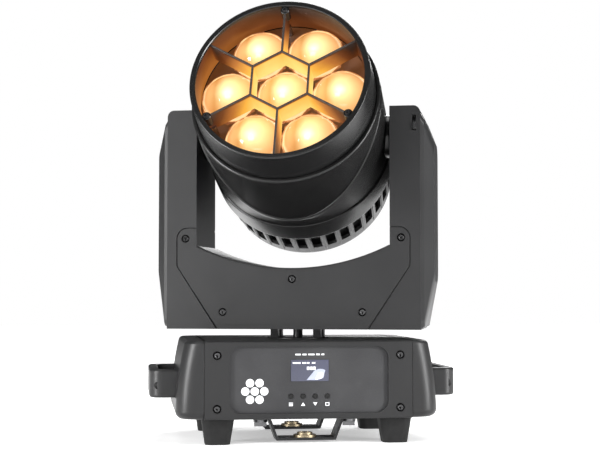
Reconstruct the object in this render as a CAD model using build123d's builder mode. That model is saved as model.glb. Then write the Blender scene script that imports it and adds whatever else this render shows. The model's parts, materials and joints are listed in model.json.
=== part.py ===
import os
from math import cos, radians, sin, sqrt, tan

from build123d import *

# Moving head wash light. The row frame stands on the floor under the pan axis: +X right, -Y front, +Z up.
# The yoke is drawn facing -Y and then panned; the head is drawn with its beam along +Z and then tilted.

# Rest pose
PAN_REST = -16.62
TILT_REST = 67.5
TILT_HEIGHT = 355.0

# Base
BASE_HALF_WIDTH = 117.0
BASE_HALF_DEPTH = 104.0
BASE_BOTTOM = 29.0
BASE_TOP = 116.0
SKIN = 3.5
RIM_DEPTH = 8.0
CAP_BOTTOM_X = 149.0
CAP_MID_X = 144.0
CAP_MID_Z = 86.0
CAP_TOP_X = 138.0
CAP_CORNER = 19.0
WINDOW_WIDTH = 179.2
WINDOW_HEIGHT = 74.0
WINDOW_Z = 72.7
SCREEN_SIZE = (42.6, 23.8)
SCREEN_CENTRE = (0.8, 82.8)
BUTTON_Z = 54.2
BUTTONS = {"menu_button": -20.5, "up_button": -6.8, "down_button": 6.9, "enter_button": 20.6}
BUTTON_RADIUS = 2.6
FOOT_X = 101.0
FOOT_Y = 76.0
HANDLE_OUTER_X = 177.0
HANDLE_HALF_DEPTH = 66.0
HANDLE_THICKNESS = 11.5
HANDLE_BOTTOM = 51.0
HANDLE_TOP = 83.0
HANDLE_SCREW_X = 180.0
HANDLE_SCREW_Y = 68.0
HANDLE_SCREW_TURN = 40.0
BRACKET_Y = 62.0
BRACKET_WIDTH = 28.0
SHEET = 3.0
WEB_BOTTOM = 2.5
WEB_HALF = 34.0
LEG_HALF = 43.0
FLANGE_HALF = 60.0
LOCK_X = 51.0
SCREW_HEAD = 4.5
SCREW_X = 103.1
SCREW_Z = (41.0, 100.0)
TRAY_HALF_WIDTH = 116.0
TRAY_HALF_DEPTH = 95.5
POWER_X = (-84.0, -50.0)
FUSE_X = -22.0
DATA_X = (8.0, 36.0, 64.0, 92.0)
SOCKET_Z = 72.0
POWER_RADIUS = 12.0
DATA_RADIUS = 11.0
FUSE_RADIUS = 6.0
BACK_FACE = BASE_HALF_DEPTH

# Pan drive
HUB_RADIUS = 22.0
HUB_PULLEY_RADIUS = 36.0
PAN_MOTOR = (-78.0, -30.0)
MOTOR_PULLEY_RADIUS = 9.0
BELT_LOW = 93.0
BELT_HIGH = 101.0
RUNNING = 0.05
CLEAR = 0.35

# Yoke
YOKE_BOTTOM = 127.0
YOKE_TOP = 386.0
YOKE_FRONT = -43.2
YOKE_BACK = 55.0
ARM_INNER = 114.4
ARM_OUTER = 150.0
SHELL_OUTER = 165.0
CROSSBAR_TOP = 198.5
CROSSBAR_ARC = 256.0
JOIN_X = 113.0
JOIN_Z = 182.5
FOOT_INNER = 76.0
COVER = 3.0
TAB_X = 137.3
TAB_LOW = 201.0
TAB_TOP = 245.0
TAB_CORNER = 12.0
COVER_BOTTOM_X = 88.0
GROOVE = 1.2
COVER_SCREWS = [(0, 185.5), (127.6, 233.3), (-127.6, 233.3), (82.5, 147), (-82.5, 147)]
AXLE_RADIUS = 10.0
BEARING_RADIUS = 16.0
TILT_MOTOR_Z = 188.0
TILT_BELT_X = (125.0, 131.0)
TILT_PULLEY_RADIUS = 24.0
LOCK_SLOT = (143.0, 366.0)

# Head, measured from the tilt axis along the beam
RIM_Z = 139.5
RIM_RADIUS = 102.0
RIM_INNER = 95.3
BEZEL_RADIUS = 104.0
BEZEL_BACK = 92.0
BARREL_FRONT = 97.0
BARREL_RADIUS = 111.0
BARREL_FRONT_RADIUS = 109.0
BARREL_BACK = -51.0
WALL = 3.0
SEAM_LOW = 5.0
SEAM_RISE = 78.0
SEAM_HALF = 110.0
TAIL_BACK = -115.0
TAIL_RADIUS = 107.0
TAIL_END_RADIUS = 103.0
TAIL_SLOTS = 36
HEX_RADIUS = 37.1
BAFFLE_FRONT = 136.0
BAFFLE_BACK = 112.0
LENS_PITCH = 64.2
LENS_RADIUS = 29.0
LENS_SEAT = 91.0
LENS_APEX = 110.0
CARRIAGE_RADIUS = 98.0
RAIL_RING = 89.0
RAIL_RADIUS = 4.0
SCREW_RADIUS = 3.0
SHELF_Z = 50.0
SHELF_RIM = 106.2
HEATSINK_RADIUS = 76.0
FAN_HOLE = 43.0
FAN_FRONT = -62.0
FAN_BACK = -87.0
SEAM_GAP = 0.8
BOSS_ANGLES = (90, 210, 330)
HEX_ANGLES = [90 + 60 * k for k in range(6)]
LENS_CENTRES = [(0, 0)] + [
    (LENS_PITCH * cos(radians(60 * k)), LENS_PITCH * sin(radians(60 * k))) for k in range(6)
]
DOME_RISE = LENS_APEX - LENS_SEAT - 2
DOME_RADIUS = (LENS_RADIUS**2 + DOME_RISE**2) / (2 * DOME_RISE)
DOME_MIDDLE = (LENS_RADIUS / 2, LENS_APEX - DOME_RADIUS + sqrt(DOME_RADIUS**2 - (LENS_RADIUS / 2) ** 2))
BARREL_OUTLINE = [
    (BARREL_FRONT_RADIUS, BARREL_FRONT),
    (BARREL_RADIUS, SEAM_LOW),
    (BARREL_RADIUS, BARREL_BACK),
    (BARREL_RADIUS - WALL, BARREL_BACK),
    (BARREL_RADIUS - WALL, SEAM_LOW),
    (BARREL_FRONT_RADIUS - WALL, BARREL_FRONT - 4),
    (BEZEL_RADIUS + 0.4, BARREL_FRONT - 4),
    (BEZEL_RADIUS + 0.4, BARREL_FRONT),
]

YOKE_PLACE = Location((0, 0, 0), (0, 0, PAN_REST))
HEAD_PLACE = YOKE_PLACE * Location((0, 0, TILT_HEIGHT), (TILT_REST, 0, 0))
BASE_PLACE = Location((0, 0, 0))

os.makedirs("parts", exist_ok=True)


def write(piece, name, place=BASE_PLACE):
    """Puts a finished piece in its rest place, labels it and writes it."""
    placed = piece.moved(place)
    placed.label = name
    export_step(placed, f"parts/{name}.step")


def block(x, y, z, mode=Mode.ADD):
    """A box given by its low and high value on each axis."""
    with Locations((sum(x) / 2, sum(y) / 2, sum(z) / 2)):
        Box(x[1] - x[0], y[1] - y[0], z[1] - z[0], mode=mode)


def facing_front(y):
    """The XZ plane at this y; a sketch on it is extruded towards -Y."""
    return Plane.XZ.offset(-y)


def rod(radius, z, at=(0, 0), mode=Mode.ADD):
    """An upright round bar from z[0] to z[1]."""
    with Locations((at[0], at[1], sum(z) / 2)):
        Cylinder(radius, z[1] - z[0], mode=mode)


def bar_along_y(radius, x, y, z, mode=Mode.ADD):
    """A round bar along Y from y[0] to y[1]."""
    with Locations(Location((x, sum(y) / 2, z), (90, 0, 0))):
        Cylinder(radius, y[1] - y[0], mode=mode)


def bar_along_x(radius, x, y, z, mode=Mode.ADD):
    """A round bar along X from x[0] to x[1]."""
    with Locations(Location((sum(x) / 2, y, z), (0, 90, 0))):
        Cylinder(radius, x[1] - x[0], mode=mode)


def turned(points):
    """Revolves a closed outline of (radius, height) points about Z."""
    with BuildSketch(Plane.XZ) as profile:
        with BuildLine():
            Polyline(*points, close=True)
        make_face()
    revolve(profile.sketch, axis=Axis.Z)


def belt_loop(centres, radii, thickness, plane, width):
    """A closed belt round two pulleys, on a plane through its near edge."""
    with BuildSketch(plane) as loop:
        for centre, radius in zip(centres, radii):
            with Locations(centre):
                Circle(radius + thickness)
        make_hull()
        with BuildSketch(mode=Mode.SUBTRACT):
            for centre, radius in zip(centres, radii):
                with Locations(centre):
                    Circle(radius)
            make_hull()
    extrude(loop.sketch, amount=width)


# ---------------------------------------------------------------- base housing
with BuildPart() as base_chassis:
    depth = (-TRAY_HALF_DEPTH, TRAY_HALF_DEPTH)
    block((-TRAY_HALF_WIDTH, TRAY_HALF_WIDTH), depth, (BASE_BOTTOM, BASE_BOTTOM + SHEET))
    for side in (-1, 1):
        wall = sorted((side * (TRAY_HALF_WIDTH - SHEET), side * TRAY_HALF_WIDTH))
        block(wall, depth, (BASE_BOTTOM + SHEET, BASE_TOP - SHEET))
    with Locations(*[(x, y, BASE_BOTTOM) for x in (-LOCK_X, LOCK_X) for y in (-BRACKET_Y, BRACKET_Y)]):
        Cylinder(5.0, 4 * SHEET, mode=Mode.SUBTRACT)
write(base_chassis.part, "base_chassis")


def end_frame(side):
    """The flanged plate that closes the front (side -1) or back (side 1) of the base."""
    outer = (side * BASE_HALF_DEPTH, side * (BASE_HALF_DEPTH - RIM_DEPTH))
    pocket = (side * (BASE_HALF_DEPTH - SKIN), side * (BASE_HALF_DEPTH - RIM_DEPTH))
    block((-BASE_HALF_WIDTH, BASE_HALF_WIDTH), sorted(outer), (BASE_BOTTOM, BASE_TOP))
    rim = faces().sort_by(Axis.Y)[0 if side < 0 else -1]
    fillet(rim.edges().filter_by(Axis.X), 2.0)
    inner = TRAY_HALF_WIDTH - SHEET
    block((-inner, inner), sorted(pocket), (BASE_BOTTOM + SKIN, BASE_TOP - SHEET), mode=Mode.SUBTRACT)
    for x in (-SCREW_X, SCREW_X):
        for z in SCREW_Z:
            seat = sorted((side * (BASE_HALF_DEPTH - 2), side * (BASE_HALF_DEPTH + 1)))
            bar_along_y(SCREW_HEAD + 0.4, x, seat, z, mode=Mode.SUBTRACT)
            bar_along_y(2.0, x, sorted(outer), z, mode=Mode.SUBTRACT)


with BuildPart() as base_front_frame:
    end_frame(-1)
    with BuildSketch(facing_front(-90)):
        with Locations((0, WINDOW_Z)):
            RectangleRounded(WINDOW_WIDTH, WINDOW_HEIGHT, 14)
    extrude(amount=20, mode=Mode.SUBTRACT)
write(base_front_frame.part, "base_front_frame")

with BuildPart() as control_panel:
    with BuildSketch(facing_front(-98.5)):
        with Locations((0, WINDOW_Z)):
            RectangleRounded(200, 79, 14)
        with Locations(SCREEN_CENTRE):
            RectangleRounded(SCREEN_SIZE[0] + 0.4, SCREEN_SIZE[1] + 0.4, 1.2, mode=Mode.SUBTRACT)
        with Locations(*[(x, BUTTON_Z) for x in BUTTONS.values()]):
            Circle(BUTTON_RADIUS + CLEAR, mode=Mode.SUBTRACT)
    extrude(amount=2)
write(control_panel.part, "control_panel")

with BuildPart() as display_window:
    with BuildSketch(facing_front(-98.5)):
        with Locations(SCREEN_CENTRE):
            RectangleRounded(*SCREEN_SIZE, 1)
    extrude(amount=2.4)
write(display_window.part, "display_window")

with BuildPart() as control_board:
    block((-60, 60), (-94.4, -92.8), (42, 104))
    block((-26, 28), (-98.3, -94.4), (66, 100))
    for x in BUTTONS.values():
        block((x - 2.5, x + 2.5), (-96.2, -94.4), (BUTTON_Z - 2.5, BUTTON_Z + 2.5))
    block((-50, -34), (-92.8, -80), (50, 90))
    block((30, 50), (-92.8, -84), (50, 70))
write(control_board.part, "control_board")

for button, button_x in BUTTONS.items():
    with BuildPart() as menu_key:
        bar_along_y(BUTTON_RADIUS, button_x, (-101.4, -98.0), BUTTON_Z)
        bar_along_y(BUTTON_RADIUS + 1.3, button_x, (-98.1, -97.1), BUTTON_Z)
        fillet(menu_key.faces().sort_by(Axis.Y)[0].edges(), 0.5)
    write(menu_key.part, button)

with BuildPart() as base_back_panel:
    end_frame(1)
    for x in POWER_X:
        bar_along_y(POWER_RADIUS + 0.2, x, (90, 110), SOCKET_Z, mode=Mode.SUBTRACT)
    for x in DATA_X:
        bar_along_y(DATA_RADIUS + 0.2, x, (90, 110), SOCKET_Z, mode=Mode.SUBTRACT)
    bar_along_y(FUSE_RADIUS + 0.2, FUSE_X, (90, 110), SOCKET_Z, mode=Mode.SUBTRACT)
write(base_back_panel.part, "base_back_panel")

with BuildPart() as power_fittings:
    for x in POWER_X:
        with BuildSketch(facing_front(BACK_FACE + 2.5)):
            with Locations((x, SOCKET_Z)):
                RectangleRounded(28, 32, 3)
        extrude(amount=2.5)
        bar_along_y(POWER_RADIUS, x, (82, BACK_FACE), SOCKET_Z)
        bar_along_y(9.6, x, (90, 110), SOCKET_Z, mode=Mode.SUBTRACT)
        for angle in (90, 210, 330):
            pin_x = x + 5 * cos(radians(angle))
            bar_along_y(1.2, pin_x, (89.5, 94), SOCKET_Z + 5 * sin(radians(angle)))
    bar_along_y(FUSE_RADIUS, FUSE_X, (80, BACK_FACE), SOCKET_Z)
    bar_along_y(8.5, FUSE_X, (BACK_FACE, BACK_FACE + 6), SOCKET_Z)
write(power_fittings.part, "power_fittings")

with BuildPart() as data_sockets:
    for index, x in enumerate(DATA_X):
        with BuildSketch(facing_front(BACK_FACE + 2)):
            with Locations((x, SOCKET_Z)):
                RectangleRounded(25, 30, 2.5)
        extrude(amount=2)
        bar_along_y(DATA_RADIUS, x, (84, BACK_FACE), SOCKET_Z)
        if index % 2:
            for angle in (30, 150, 270):
                hole_x = x + 4.5 * cos(radians(angle))
                bar_along_y(1.3, hole_x, (96, 110), SOCKET_Z + 4.5 * sin(radians(angle)), mode=Mode.SUBTRACT)
        else:
            bar_along_y(8.6, x, (92, 110), SOCKET_Z, mode=Mode.SUBTRACT)
            for angle in (30, 150, 270):
                pin_x = x + 4.5 * cos(radians(angle))
                bar_along_y(1.1, pin_x, (91.5, 96), SOCKET_Z + 4.5 * sin(radians(angle)))
write(data_sockets.part, "data_sockets")

with BuildPart() as base_top_cover:
    block((-BASE_HALF_WIDTH, BASE_HALF_WIDTH), (-96, 96), (BASE_TOP - SHEET, BASE_TOP))
    rod(38.0, (BASE_TOP - 10, BASE_TOP + 10), mode=Mode.SUBTRACT)
write(base_top_cover.part, "base_top_cover")


def cap_section(side, outer_x, half_depth, inner_x, corner, z):
    """A D-shaped outline at height z, square on the inner side and rounded outside."""
    with BuildSketch(Plane.XY.offset(z)) as section:
        with BuildLine():
            Polyline(
                (side * inner_x, -half_depth),
                (side * outer_x, -half_depth),
                (side * outer_x, half_depth),
                (side * inner_x, half_depth),
                close=True,
            )
        make_face()
        outside = vertices().group_by(Axis.X)[-1 if side > 0 else 0]
        fillet(outside, corner)
    return section.sketch


def cap_volume(side, inset, inner_x):
    """Sections of the end cap's swelling outer form, or of its hollow when inset is the wall."""
    depth = BASE_HALF_DEPTH - inset
    heights = (
        (CAP_BOTTOM_X, BASE_BOTTOM + inset),
        (CAP_MID_X, CAP_MID_Z),
        (CAP_TOP_X, BASE_TOP - inset),
    )
    return [cap_section(side, x - inset, depth, inner_x, CAP_CORNER - inset, z) for x, z in heights]


def cap_face_x(z):
    """How far out the end cap's flat side stands at height z, below its widest bend."""
    return CAP_BOTTOM_X - (CAP_BOTTOM_X - CAP_MID_X) * (z - BASE_BOTTOM) / (CAP_MID_Z - BASE_BOTTOM)


for side, side_name in ((-1, "left"), (1, "right")):
    with BuildPart() as end_cap:
        loft(cap_volume(side, 0, BASE_HALF_WIDTH), ruled=True)
        low_rim = end_cap.faces().sort_by(Axis.Z)[0].edges()
        outer_low = low_rim.filter_by(lambda e: abs(e.center().X) > BASE_HALF_WIDTH + 1)
        fillet(outer_low, 5)
        top_rim = end_cap.faces().sort_by(Axis.Z)[-1].edges()
        outer_top = top_rim.filter_by(lambda e: abs(e.center().X) > BASE_HALF_WIDTH + 1)
        fillet(outer_top, 2)
        loft(cap_volume(side, 3, BASE_HALF_WIDTH - 2), ruled=True, mode=Mode.SUBTRACT)
    write(end_cap.part, f"{side_name}_end_cap")

    with BuildPart() as handle:
        with BuildSketch(Plane.XY.offset(HANDLE_BOTTOM)):
            with Locations((side * (HANDLE_OUTER_X - 30), 0)):
                RectangleRounded(60, 2 * HANDLE_HALF_DEPTH, 15)
            with Locations((side * (HANDLE_OUTER_X - 30 - HANDLE_THICKNESS), 0)):
                RectangleRounded(60, 2 * (HANDLE_HALF_DEPTH - HANDLE_THICKNESS), 7, mode=Mode.SUBTRACT)
            with Locations((side * 125, 0)):
                Rectangle(36, 2 * HANDLE_HALF_DEPTH + 10, mode=Mode.SUBTRACT)
        extrude(amount=HANDLE_TOP - HANDLE_BOTTOM)
        tops = handle.faces().sort_by(Axis.Z)
        fillet(tops[-1].edges() + tops[0].edges(), 3)
        with BuildSketch(facing_front(HANDLE_HALF_DEPTH + 5)):
            with BuildLine():
                Polyline(
                    (side * 110, 40),
                    (side * cap_face_x(40), 40),
                    (side * cap_face_x(95), 95),
                    (side * 110, 95),
                    close=True,
                )
            make_face()
        extrude(amount=2 * HANDLE_HALF_DEPTH + 10, mode=Mode.SUBTRACT)
        for front in (-1, 1):
            recess_turn = side * front * HANDLE_SCREW_TURN + (0 if side > 0 else 180)
            recess = Location(
                (side * HANDLE_SCREW_X, front * HANDLE_SCREW_Y, (HANDLE_BOTTOM + HANDLE_TOP) / 2 - 2),
                (0, 90, recess_turn),
            )
            with Locations(recess):
                Cylinder(5.5, 24, mode=Mode.SUBTRACT)
    write(handle.part, f"{side_name}_handle")

# ---------------------------------------------------------------- base fittings
with BuildPart() as rubber_feet:
    for x in (-FOOT_X, FOOT_X):
        for y in (-FOOT_Y, FOOT_Y):
            with BuildSketch():
                with Locations((x, y)):
                    RectangleRounded(28, 28, 8)
            with BuildSketch(Plane.XY.offset(BASE_BOTTOM)):
                with Locations((x, y)):
                    RectangleRounded(37, 37, 10)
            loft()
write(rubber_feet.part, "rubber_feet")

for bracket_y, bracket_name in ((-BRACKET_Y, "front"), (BRACKET_Y, "rear")):
    near = bracket_y + BRACKET_WIDTH / 2
    with BuildPart() as bracket:
        with BuildSketch(facing_front(near)):
            with BuildLine():
                Polyline(
                    (-WEB_HALF, WEB_BOTTOM),
                    (WEB_HALF, WEB_BOTTOM),
                    (LEG_HALF, BASE_BOTTOM - SHEET),
                    (FLANGE_HALF, BASE_BOTTOM - SHEET),
                    (FLANGE_HALF, BASE_BOTTOM),
                    (LEG_HALF - 2, BASE_BOTTOM),
                    (WEB_HALF - 2, WEB_BOTTOM + SHEET),
                    (2 - WEB_HALF, WEB_BOTTOM + SHEET),
                    (2 - LEG_HALF, BASE_BOTTOM),
                    (-FLANGE_HALF, BASE_BOTTOM),
                    (-FLANGE_HALF, BASE_BOTTOM - SHEET),
                    (-LEG_HALF, BASE_BOTTOM - SHEET),
                    close=True,
                )
            make_face()
        extrude(amount=BRACKET_WIDTH)
        rod(6.5, (0, 10), (0, bracket_y), mode=Mode.SUBTRACT)
        for x in (-LOCK_X, LOCK_X):
            rod(5.0, (20, 40), (x, bracket_y), mode=Mode.SUBTRACT)
    write(bracket.part, f"{bracket_name}_omega_bracket")
    for side, side_name in ((-1, "left"), (1, "right")):
        with BuildPart() as quarter_turn:
            at = (side * LOCK_X, bracket_y)
            rod(8, (22.5, 25.6), at)
            block((at[0] - 7, at[0] + 7), (at[1] - 1.6, at[1] + 1.6), (17.5, 22.5))
            rod(4.6, (25.6, 35), at)
            block((at[0] - 7.5, at[0] + 7.5), (at[1] - 2, at[1] + 2), (32.5, 35.5))
        write(quarter_turn.part, f"{bracket_name}_{side_name}_quarter_turn")

with BuildPart() as bracket_locators:
    for y in (-BRACKET_Y, BRACKET_Y):
        rod(13, (WEB_BOTTOM + SHEET, WEB_BOTTOM + SHEET + 2.5), (0, y))
        rod(9, (WEB_BOTTOM + SHEET + 2.5, WEB_BOTTOM + SHEET + 5), (0, y))
        rod(7.2, (0, 20), (0, y), mode=Mode.SUBTRACT)
write(bracket_locators.part, "bracket_locators")

with BuildPart() as base_screws:
    for side in (-1, 1):
        for x in (-103.1, 103.1):
            for z in (41, 100):
                head = sorted((side * (BASE_HALF_DEPTH - 2), side * (BASE_HALF_DEPTH - 0.2)))
                shank = sorted((side * (BASE_HALF_DEPTH - 3.5), side * (BASE_HALF_DEPTH - 2)))
                bar_along_y(SCREW_HEAD, x, head, z)
                bar_along_y(1.9, x, shank, z)
write(base_screws.part, "base_screws")

with BuildPart() as power_supply:
    block((-80, 80), (4, 74), (37, 66))
    block((-70, 70), (6, 72), (66, 68))
    for x in (-74, 74):
        for y in (10, 68):
            rod(4, (BASE_BOTTOM + SHEET, 37), (x, y))
write(power_supply.part, "power_supply")

# ---------------------------------------------------------------- pan drive
with BuildPart() as pan_bearing:
    rod(42, (104, BASE_TOP - SHEET))
    rod(HUB_RADIUS + RUNNING, (100, 120), mode=Mode.SUBTRACT)
write(pan_bearing.part, "pan_bearing")

with BuildPart() as pan_motor:
    block((PAN_MOTOR[0] - 27, PAN_MOTOR[0] + 27), (PAN_MOTOR[1] - 27, PAN_MOTOR[1] + 27), (44, 86))
    rod(18, (86, 87.5), PAN_MOTOR)
    rod(3.0, (87.5, 104), PAN_MOTOR)
write(pan_motor.part, "pan_motor")

with BuildPart() as pan_motor_pulley:
    rod(MOTOR_PULLEY_RADIUS, (BELT_LOW - 1, BELT_HIGH + 1), PAN_MOTOR)
    rod(3.0 + RUNNING, (BELT_LOW - 5, BELT_HIGH + 5), PAN_MOTOR, mode=Mode.SUBTRACT)
write(pan_motor_pulley.part, "pan_motor_pulley")

with BuildPart() as pan_belt:
    belt_loop(
        [(0, 0), PAN_MOTOR],
        [HUB_PULLEY_RADIUS + CLEAR, MOTOR_PULLEY_RADIUS + CLEAR],
        1.8,
        Plane.XY.offset(BELT_LOW),
        BELT_HIGH - BELT_LOW,
    )
write(pan_belt.part, "pan_belt")

with BuildPart() as pan_hub:
    rod(HUB_PULLEY_RADIUS, (BELT_LOW - 1, BELT_HIGH + 1))
    rod(HUB_RADIUS, (BELT_HIGH + 1, BASE_TOP))
    rod(34, (BASE_TOP - SHEET + CLEAR, BASE_TOP + 0.5))
    rod(5.6, (BASE_TOP, YOKE_BOTTOM))
    for x in (-25.5, 25.5):
        for y in (-13, 13):
            block((x - 4.5, x + 4.5), (y - 5, y + 5), (BASE_TOP, YOKE_BOTTOM))
    rod(3.6, (80, 130), mode=Mode.SUBTRACT)
write(pan_hub.part, "pan_hub", YOKE_PLACE)

# ---------------------------------------------------------------- yoke


def crossbar_arc_z(x, top=CROSSBAR_TOP):
    """Height of the crossbar's hollow top at x from the middle."""
    return top + CROSSBAR_ARC - sqrt(CROSSBAR_ARC**2 - x**2)


def crossbar_outline(inset):
    """The crossbar's front outline, drawn in by a wall's thickness."""
    slant = inset / cos(radians(33.7))
    foot = FOOT_INNER - slant - inset * tan(radians(33.7))
    side_x = JOIN_X - inset
    with BuildSketch() as outline:
        with BuildLine():
            Line((-foot, YOKE_BOTTOM + inset), (foot, YOKE_BOTTOM + inset))
            Line((foot, YOKE_BOTTOM + inset), (side_x, JOIN_Z + inset * 0.4))
            Line((side_x, JOIN_Z + inset * 0.4), (side_x, crossbar_arc_z(side_x) - inset))
            ThreePointArc(
                (side_x, crossbar_arc_z(side_x) - inset),
                (0, CROSSBAR_TOP - inset),
                (-side_x, crossbar_arc_z(side_x) - inset),
            )
            Line((-side_x, crossbar_arc_z(side_x) - inset), (-side_x, JOIN_Z + inset * 0.4))
            Line((-side_x, JOIN_Z + inset * 0.4), (-foot, YOKE_BOTTOM + inset))
        make_face()
    return outline.sketch


with BuildPart() as yoke_crossbar:
    with BuildSketch(facing_front(YOKE_BACK - COVER)):
        add(crossbar_outline(0))
    extrude(amount=YOKE_BACK - YOKE_FRONT - 2 * COVER)
    with BuildSketch(facing_front(YOKE_BACK)):
        add(crossbar_outline(4))
    extrude(amount=YOKE_BACK - YOKE_FRONT, mode=Mode.SUBTRACT)
    bar_along_x(4.0, (100, 120), 0, TILT_MOTOR_Z, mode=Mode.SUBTRACT)
write(yoke_crossbar.part, "yoke_crossbar", YOKE_PLACE)


def cover_outline(grow):
    """The cover plate's outline: two tabs, a hollow top edge and slanting lower sides."""
    tab_x = TAB_X + grow
    tab_top = TAB_TOP + grow
    corner = TAB_CORNER + grow
    low_x = COVER_BOTTOM_X + grow * 1.2
    arm_x = ARM_INNER - grow * 0.1
    arc_z = crossbar_arc_z(arm_x, CROSSBAR_TOP - 2) + grow
    with BuildSketch() as outline:
        with BuildLine():
            Line((0, YOKE_BOTTOM - grow), (low_x, YOKE_BOTTOM - grow))
            Line((low_x, YOKE_BOTTOM - grow), (tab_x, TAB_LOW))
            Line((tab_x, TAB_LOW), (tab_x, tab_top - corner))
            JernArc((tab_x, tab_top - corner), (0, 1), corner, 90)
            Line((tab_x - corner, tab_top), (arm_x, tab_top))
            Line((arm_x, tab_top), (arm_x, arc_z))
            ThreePointArc(
                (arm_x, arc_z),
                (arm_x / 2, crossbar_arc_z(arm_x / 2, CROSSBAR_TOP - 2) + grow),
                (0, CROSSBAR_TOP - 2 + grow),
            )
            Line((0, CROSSBAR_TOP - 2 + grow), (0, YOKE_BOTTOM - grow))
        make_face()
        mirror(about=Plane.YZ)
    return outline.sketch


for cover_name, outer_y, inner_y in (
    ("front_cover", YOKE_FRONT, YOKE_FRONT + COVER),
    ("back_cover", YOKE_BACK, YOKE_BACK - COVER),
):
    with BuildPart() as cover_plate:
        with BuildSketch(facing_front(max(outer_y, inner_y))):
            add(cover_outline(0))
        extrude(amount=COVER)
        for x, z in COVER_SCREWS:
            seat = sorted((outer_y * 1.1, outer_y + (2 if outer_y < 0 else -2)))
            bar_along_y(SCREW_HEAD + 0.3, x, seat, z, mode=Mode.SUBTRACT)
            bar_along_y(2.0, x, sorted((outer_y, inner_y)), z, mode=Mode.SUBTRACT)
    write(cover_plate.part, cover_name, YOKE_PLACE)

with BuildPart() as cover_screws:
    for outer_y, inward in ((YOKE_FRONT, 1), (YOKE_BACK, -1)):
        for x, z in COVER_SCREWS:
            bar_along_y(SCREW_HEAD, x, sorted((outer_y + 0.1 * inward, outer_y + 2 * inward)), z)
            bar_along_y(1.9, x, sorted((outer_y + 2 * inward, outer_y + 3 * inward)), z)
write(cover_screws.part, "cover_screws", YOKE_PLACE)

for side, side_name in ((-1, "left"), (1, "right")):
    with BuildPart() as arm_frame:
        with BuildSketch(facing_front(YOKE_BACK)):
            with BuildLine():
                Polyline(
                    (side * ARM_OUTER, YOKE_BOTTOM),
                    (side * FOOT_INNER, YOKE_BOTTOM),
                    (side * JOIN_X, JOIN_Z),
                    (side * JOIN_X, crossbar_arc_z(JOIN_X)),
                    (side * ARM_INNER, crossbar_arc_z(JOIN_X)),
                    (side * ARM_INNER, YOKE_TOP),
                    (side * ARM_OUTER, YOKE_TOP),
                    close=True,
                )
            make_face()
        extrude(amount=YOKE_BACK - YOKE_FRONT)
        corner = arm_frame.edges().filter_by(Axis.Y).sort_by(Axis.Z)[-2:]
        fillet(corner.sort_by(Axis.X)[0 if side < 0 else -1], 8)
        cavity = sorted((side * (ARM_INNER + 3.2), side * (ARM_OUTER + 1)))
        hollow = (YOKE_FRONT + 6.2, YOKE_BACK - 6.2)
        block(cavity, hollow, (YOKE_BOTTOM + SKIN, YOKE_TOP - SKIN), mode=Mode.SUBTRACT)
        foot = sorted((side * FOOT_INNER, side * (ARM_INNER + 4)))
        block(foot, hollow, (YOKE_BOTTOM + SKIN, JOIN_Z + 2), mode=Mode.SUBTRACT)
        for skin_y in (YOKE_FRONT + COVER, YOKE_BACK + 1):
            with BuildSketch(facing_front(skin_y)):
                add(cover_outline(GROOVE))
            extrude(amount=COVER + (1 if skin_y > 0 else 0) + 1, mode=Mode.SUBTRACT)
        bar_along_x(BEARING_RADIUS, sorted((side * 110, side * 119)), 0, TILT_HEIGHT, mode=Mode.SUBTRACT)
        if side > 0:
            slot_x, slot_z = LOCK_SLOT
            slot = ((slot_x - 2.3, slot_x + 2.3), (YOKE_FRONT - 1, YOKE_FRONT + 8), (slot_z - 9, slot_z + 9))
            block(*slot, mode=Mode.SUBTRACT)
            bar_along_x(4.0, (110, 119), 0, TILT_MOTOR_Z, mode=Mode.SUBTRACT)
    write(arm_frame.part, f"{side_name}_arm_frame", YOKE_PLACE)

    with BuildPart() as arm_shell:
        for inset, mode in ((0, Mode.ADD), (2.6, Mode.SUBTRACT)):
            for x, low, high, front, back, corner in (
                (ARM_OUTER if inset == 0 else ARM_OUTER - 1, 127.5, 378, -42.5, 54.3, 10),
                (154, 130, 372, -41, 53, 10),
                (SHELL_OUTER, 182, 345, -26, 40, 16),
            ):
                with BuildSketch(Plane.YZ.offset(side * (x - (inset if x > ARM_OUTER else 0)))):
                    with Locations(((front + back) / 2, (low + high) / 2)):
                        RectangleRounded(back - front - 2 * inset, high - low - 2 * inset, corner - inset)
            loft(ruled=True, mode=mode)
    write(arm_shell.part, f"{side_name}_arm_shell", YOKE_PLACE)

with BuildPart() as tilt_bearings:
    for side in (-1, 1):
        span = sorted((side * ARM_INNER, side * (ARM_INNER + 7)))
        bar_along_x(BEARING_RADIUS, span, 0, TILT_HEIGHT)
    bar_along_x(AXLE_RADIUS + RUNNING, (-130, 130), 0, TILT_HEIGHT, mode=Mode.SUBTRACT)
write(tilt_bearings.part, "tilt_bearings", YOKE_PLACE)

with BuildPart() as tilt_motor:
    block((62, 101), (-21, 21), (TILT_MOTOR_Z - 14, TILT_MOTOR_Z + 14))
    bar_along_x(5, (101, 108.5), 0, TILT_MOTOR_Z)
write(tilt_motor.part, "tilt_motor", YOKE_PLACE)

near_x, far_x = TILT_BELT_X
with BuildPart() as tilt_motor_pulley:
    bar_along_x(MOTOR_PULLEY_RADIUS, (near_x - 1, far_x + 1), 0, TILT_MOTOR_Z)
    bar_along_x(3.0, (108.8, near_x - 1), 0, TILT_MOTOR_Z)
write(tilt_motor_pulley.part, "tilt_motor_pulley", YOKE_PLACE)

with BuildPart() as tilt_belt:
    belt_loop(
        [(0, TILT_MOTOR_Z), (0, TILT_HEIGHT)],
        [MOTOR_PULLEY_RADIUS + CLEAR, TILT_PULLEY_RADIUS + CLEAR],
        1.8,
        Plane.YZ.offset(near_x),
        far_x - near_x,
    )
write(tilt_belt.part, "tilt_belt", YOKE_PLACE)

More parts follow.
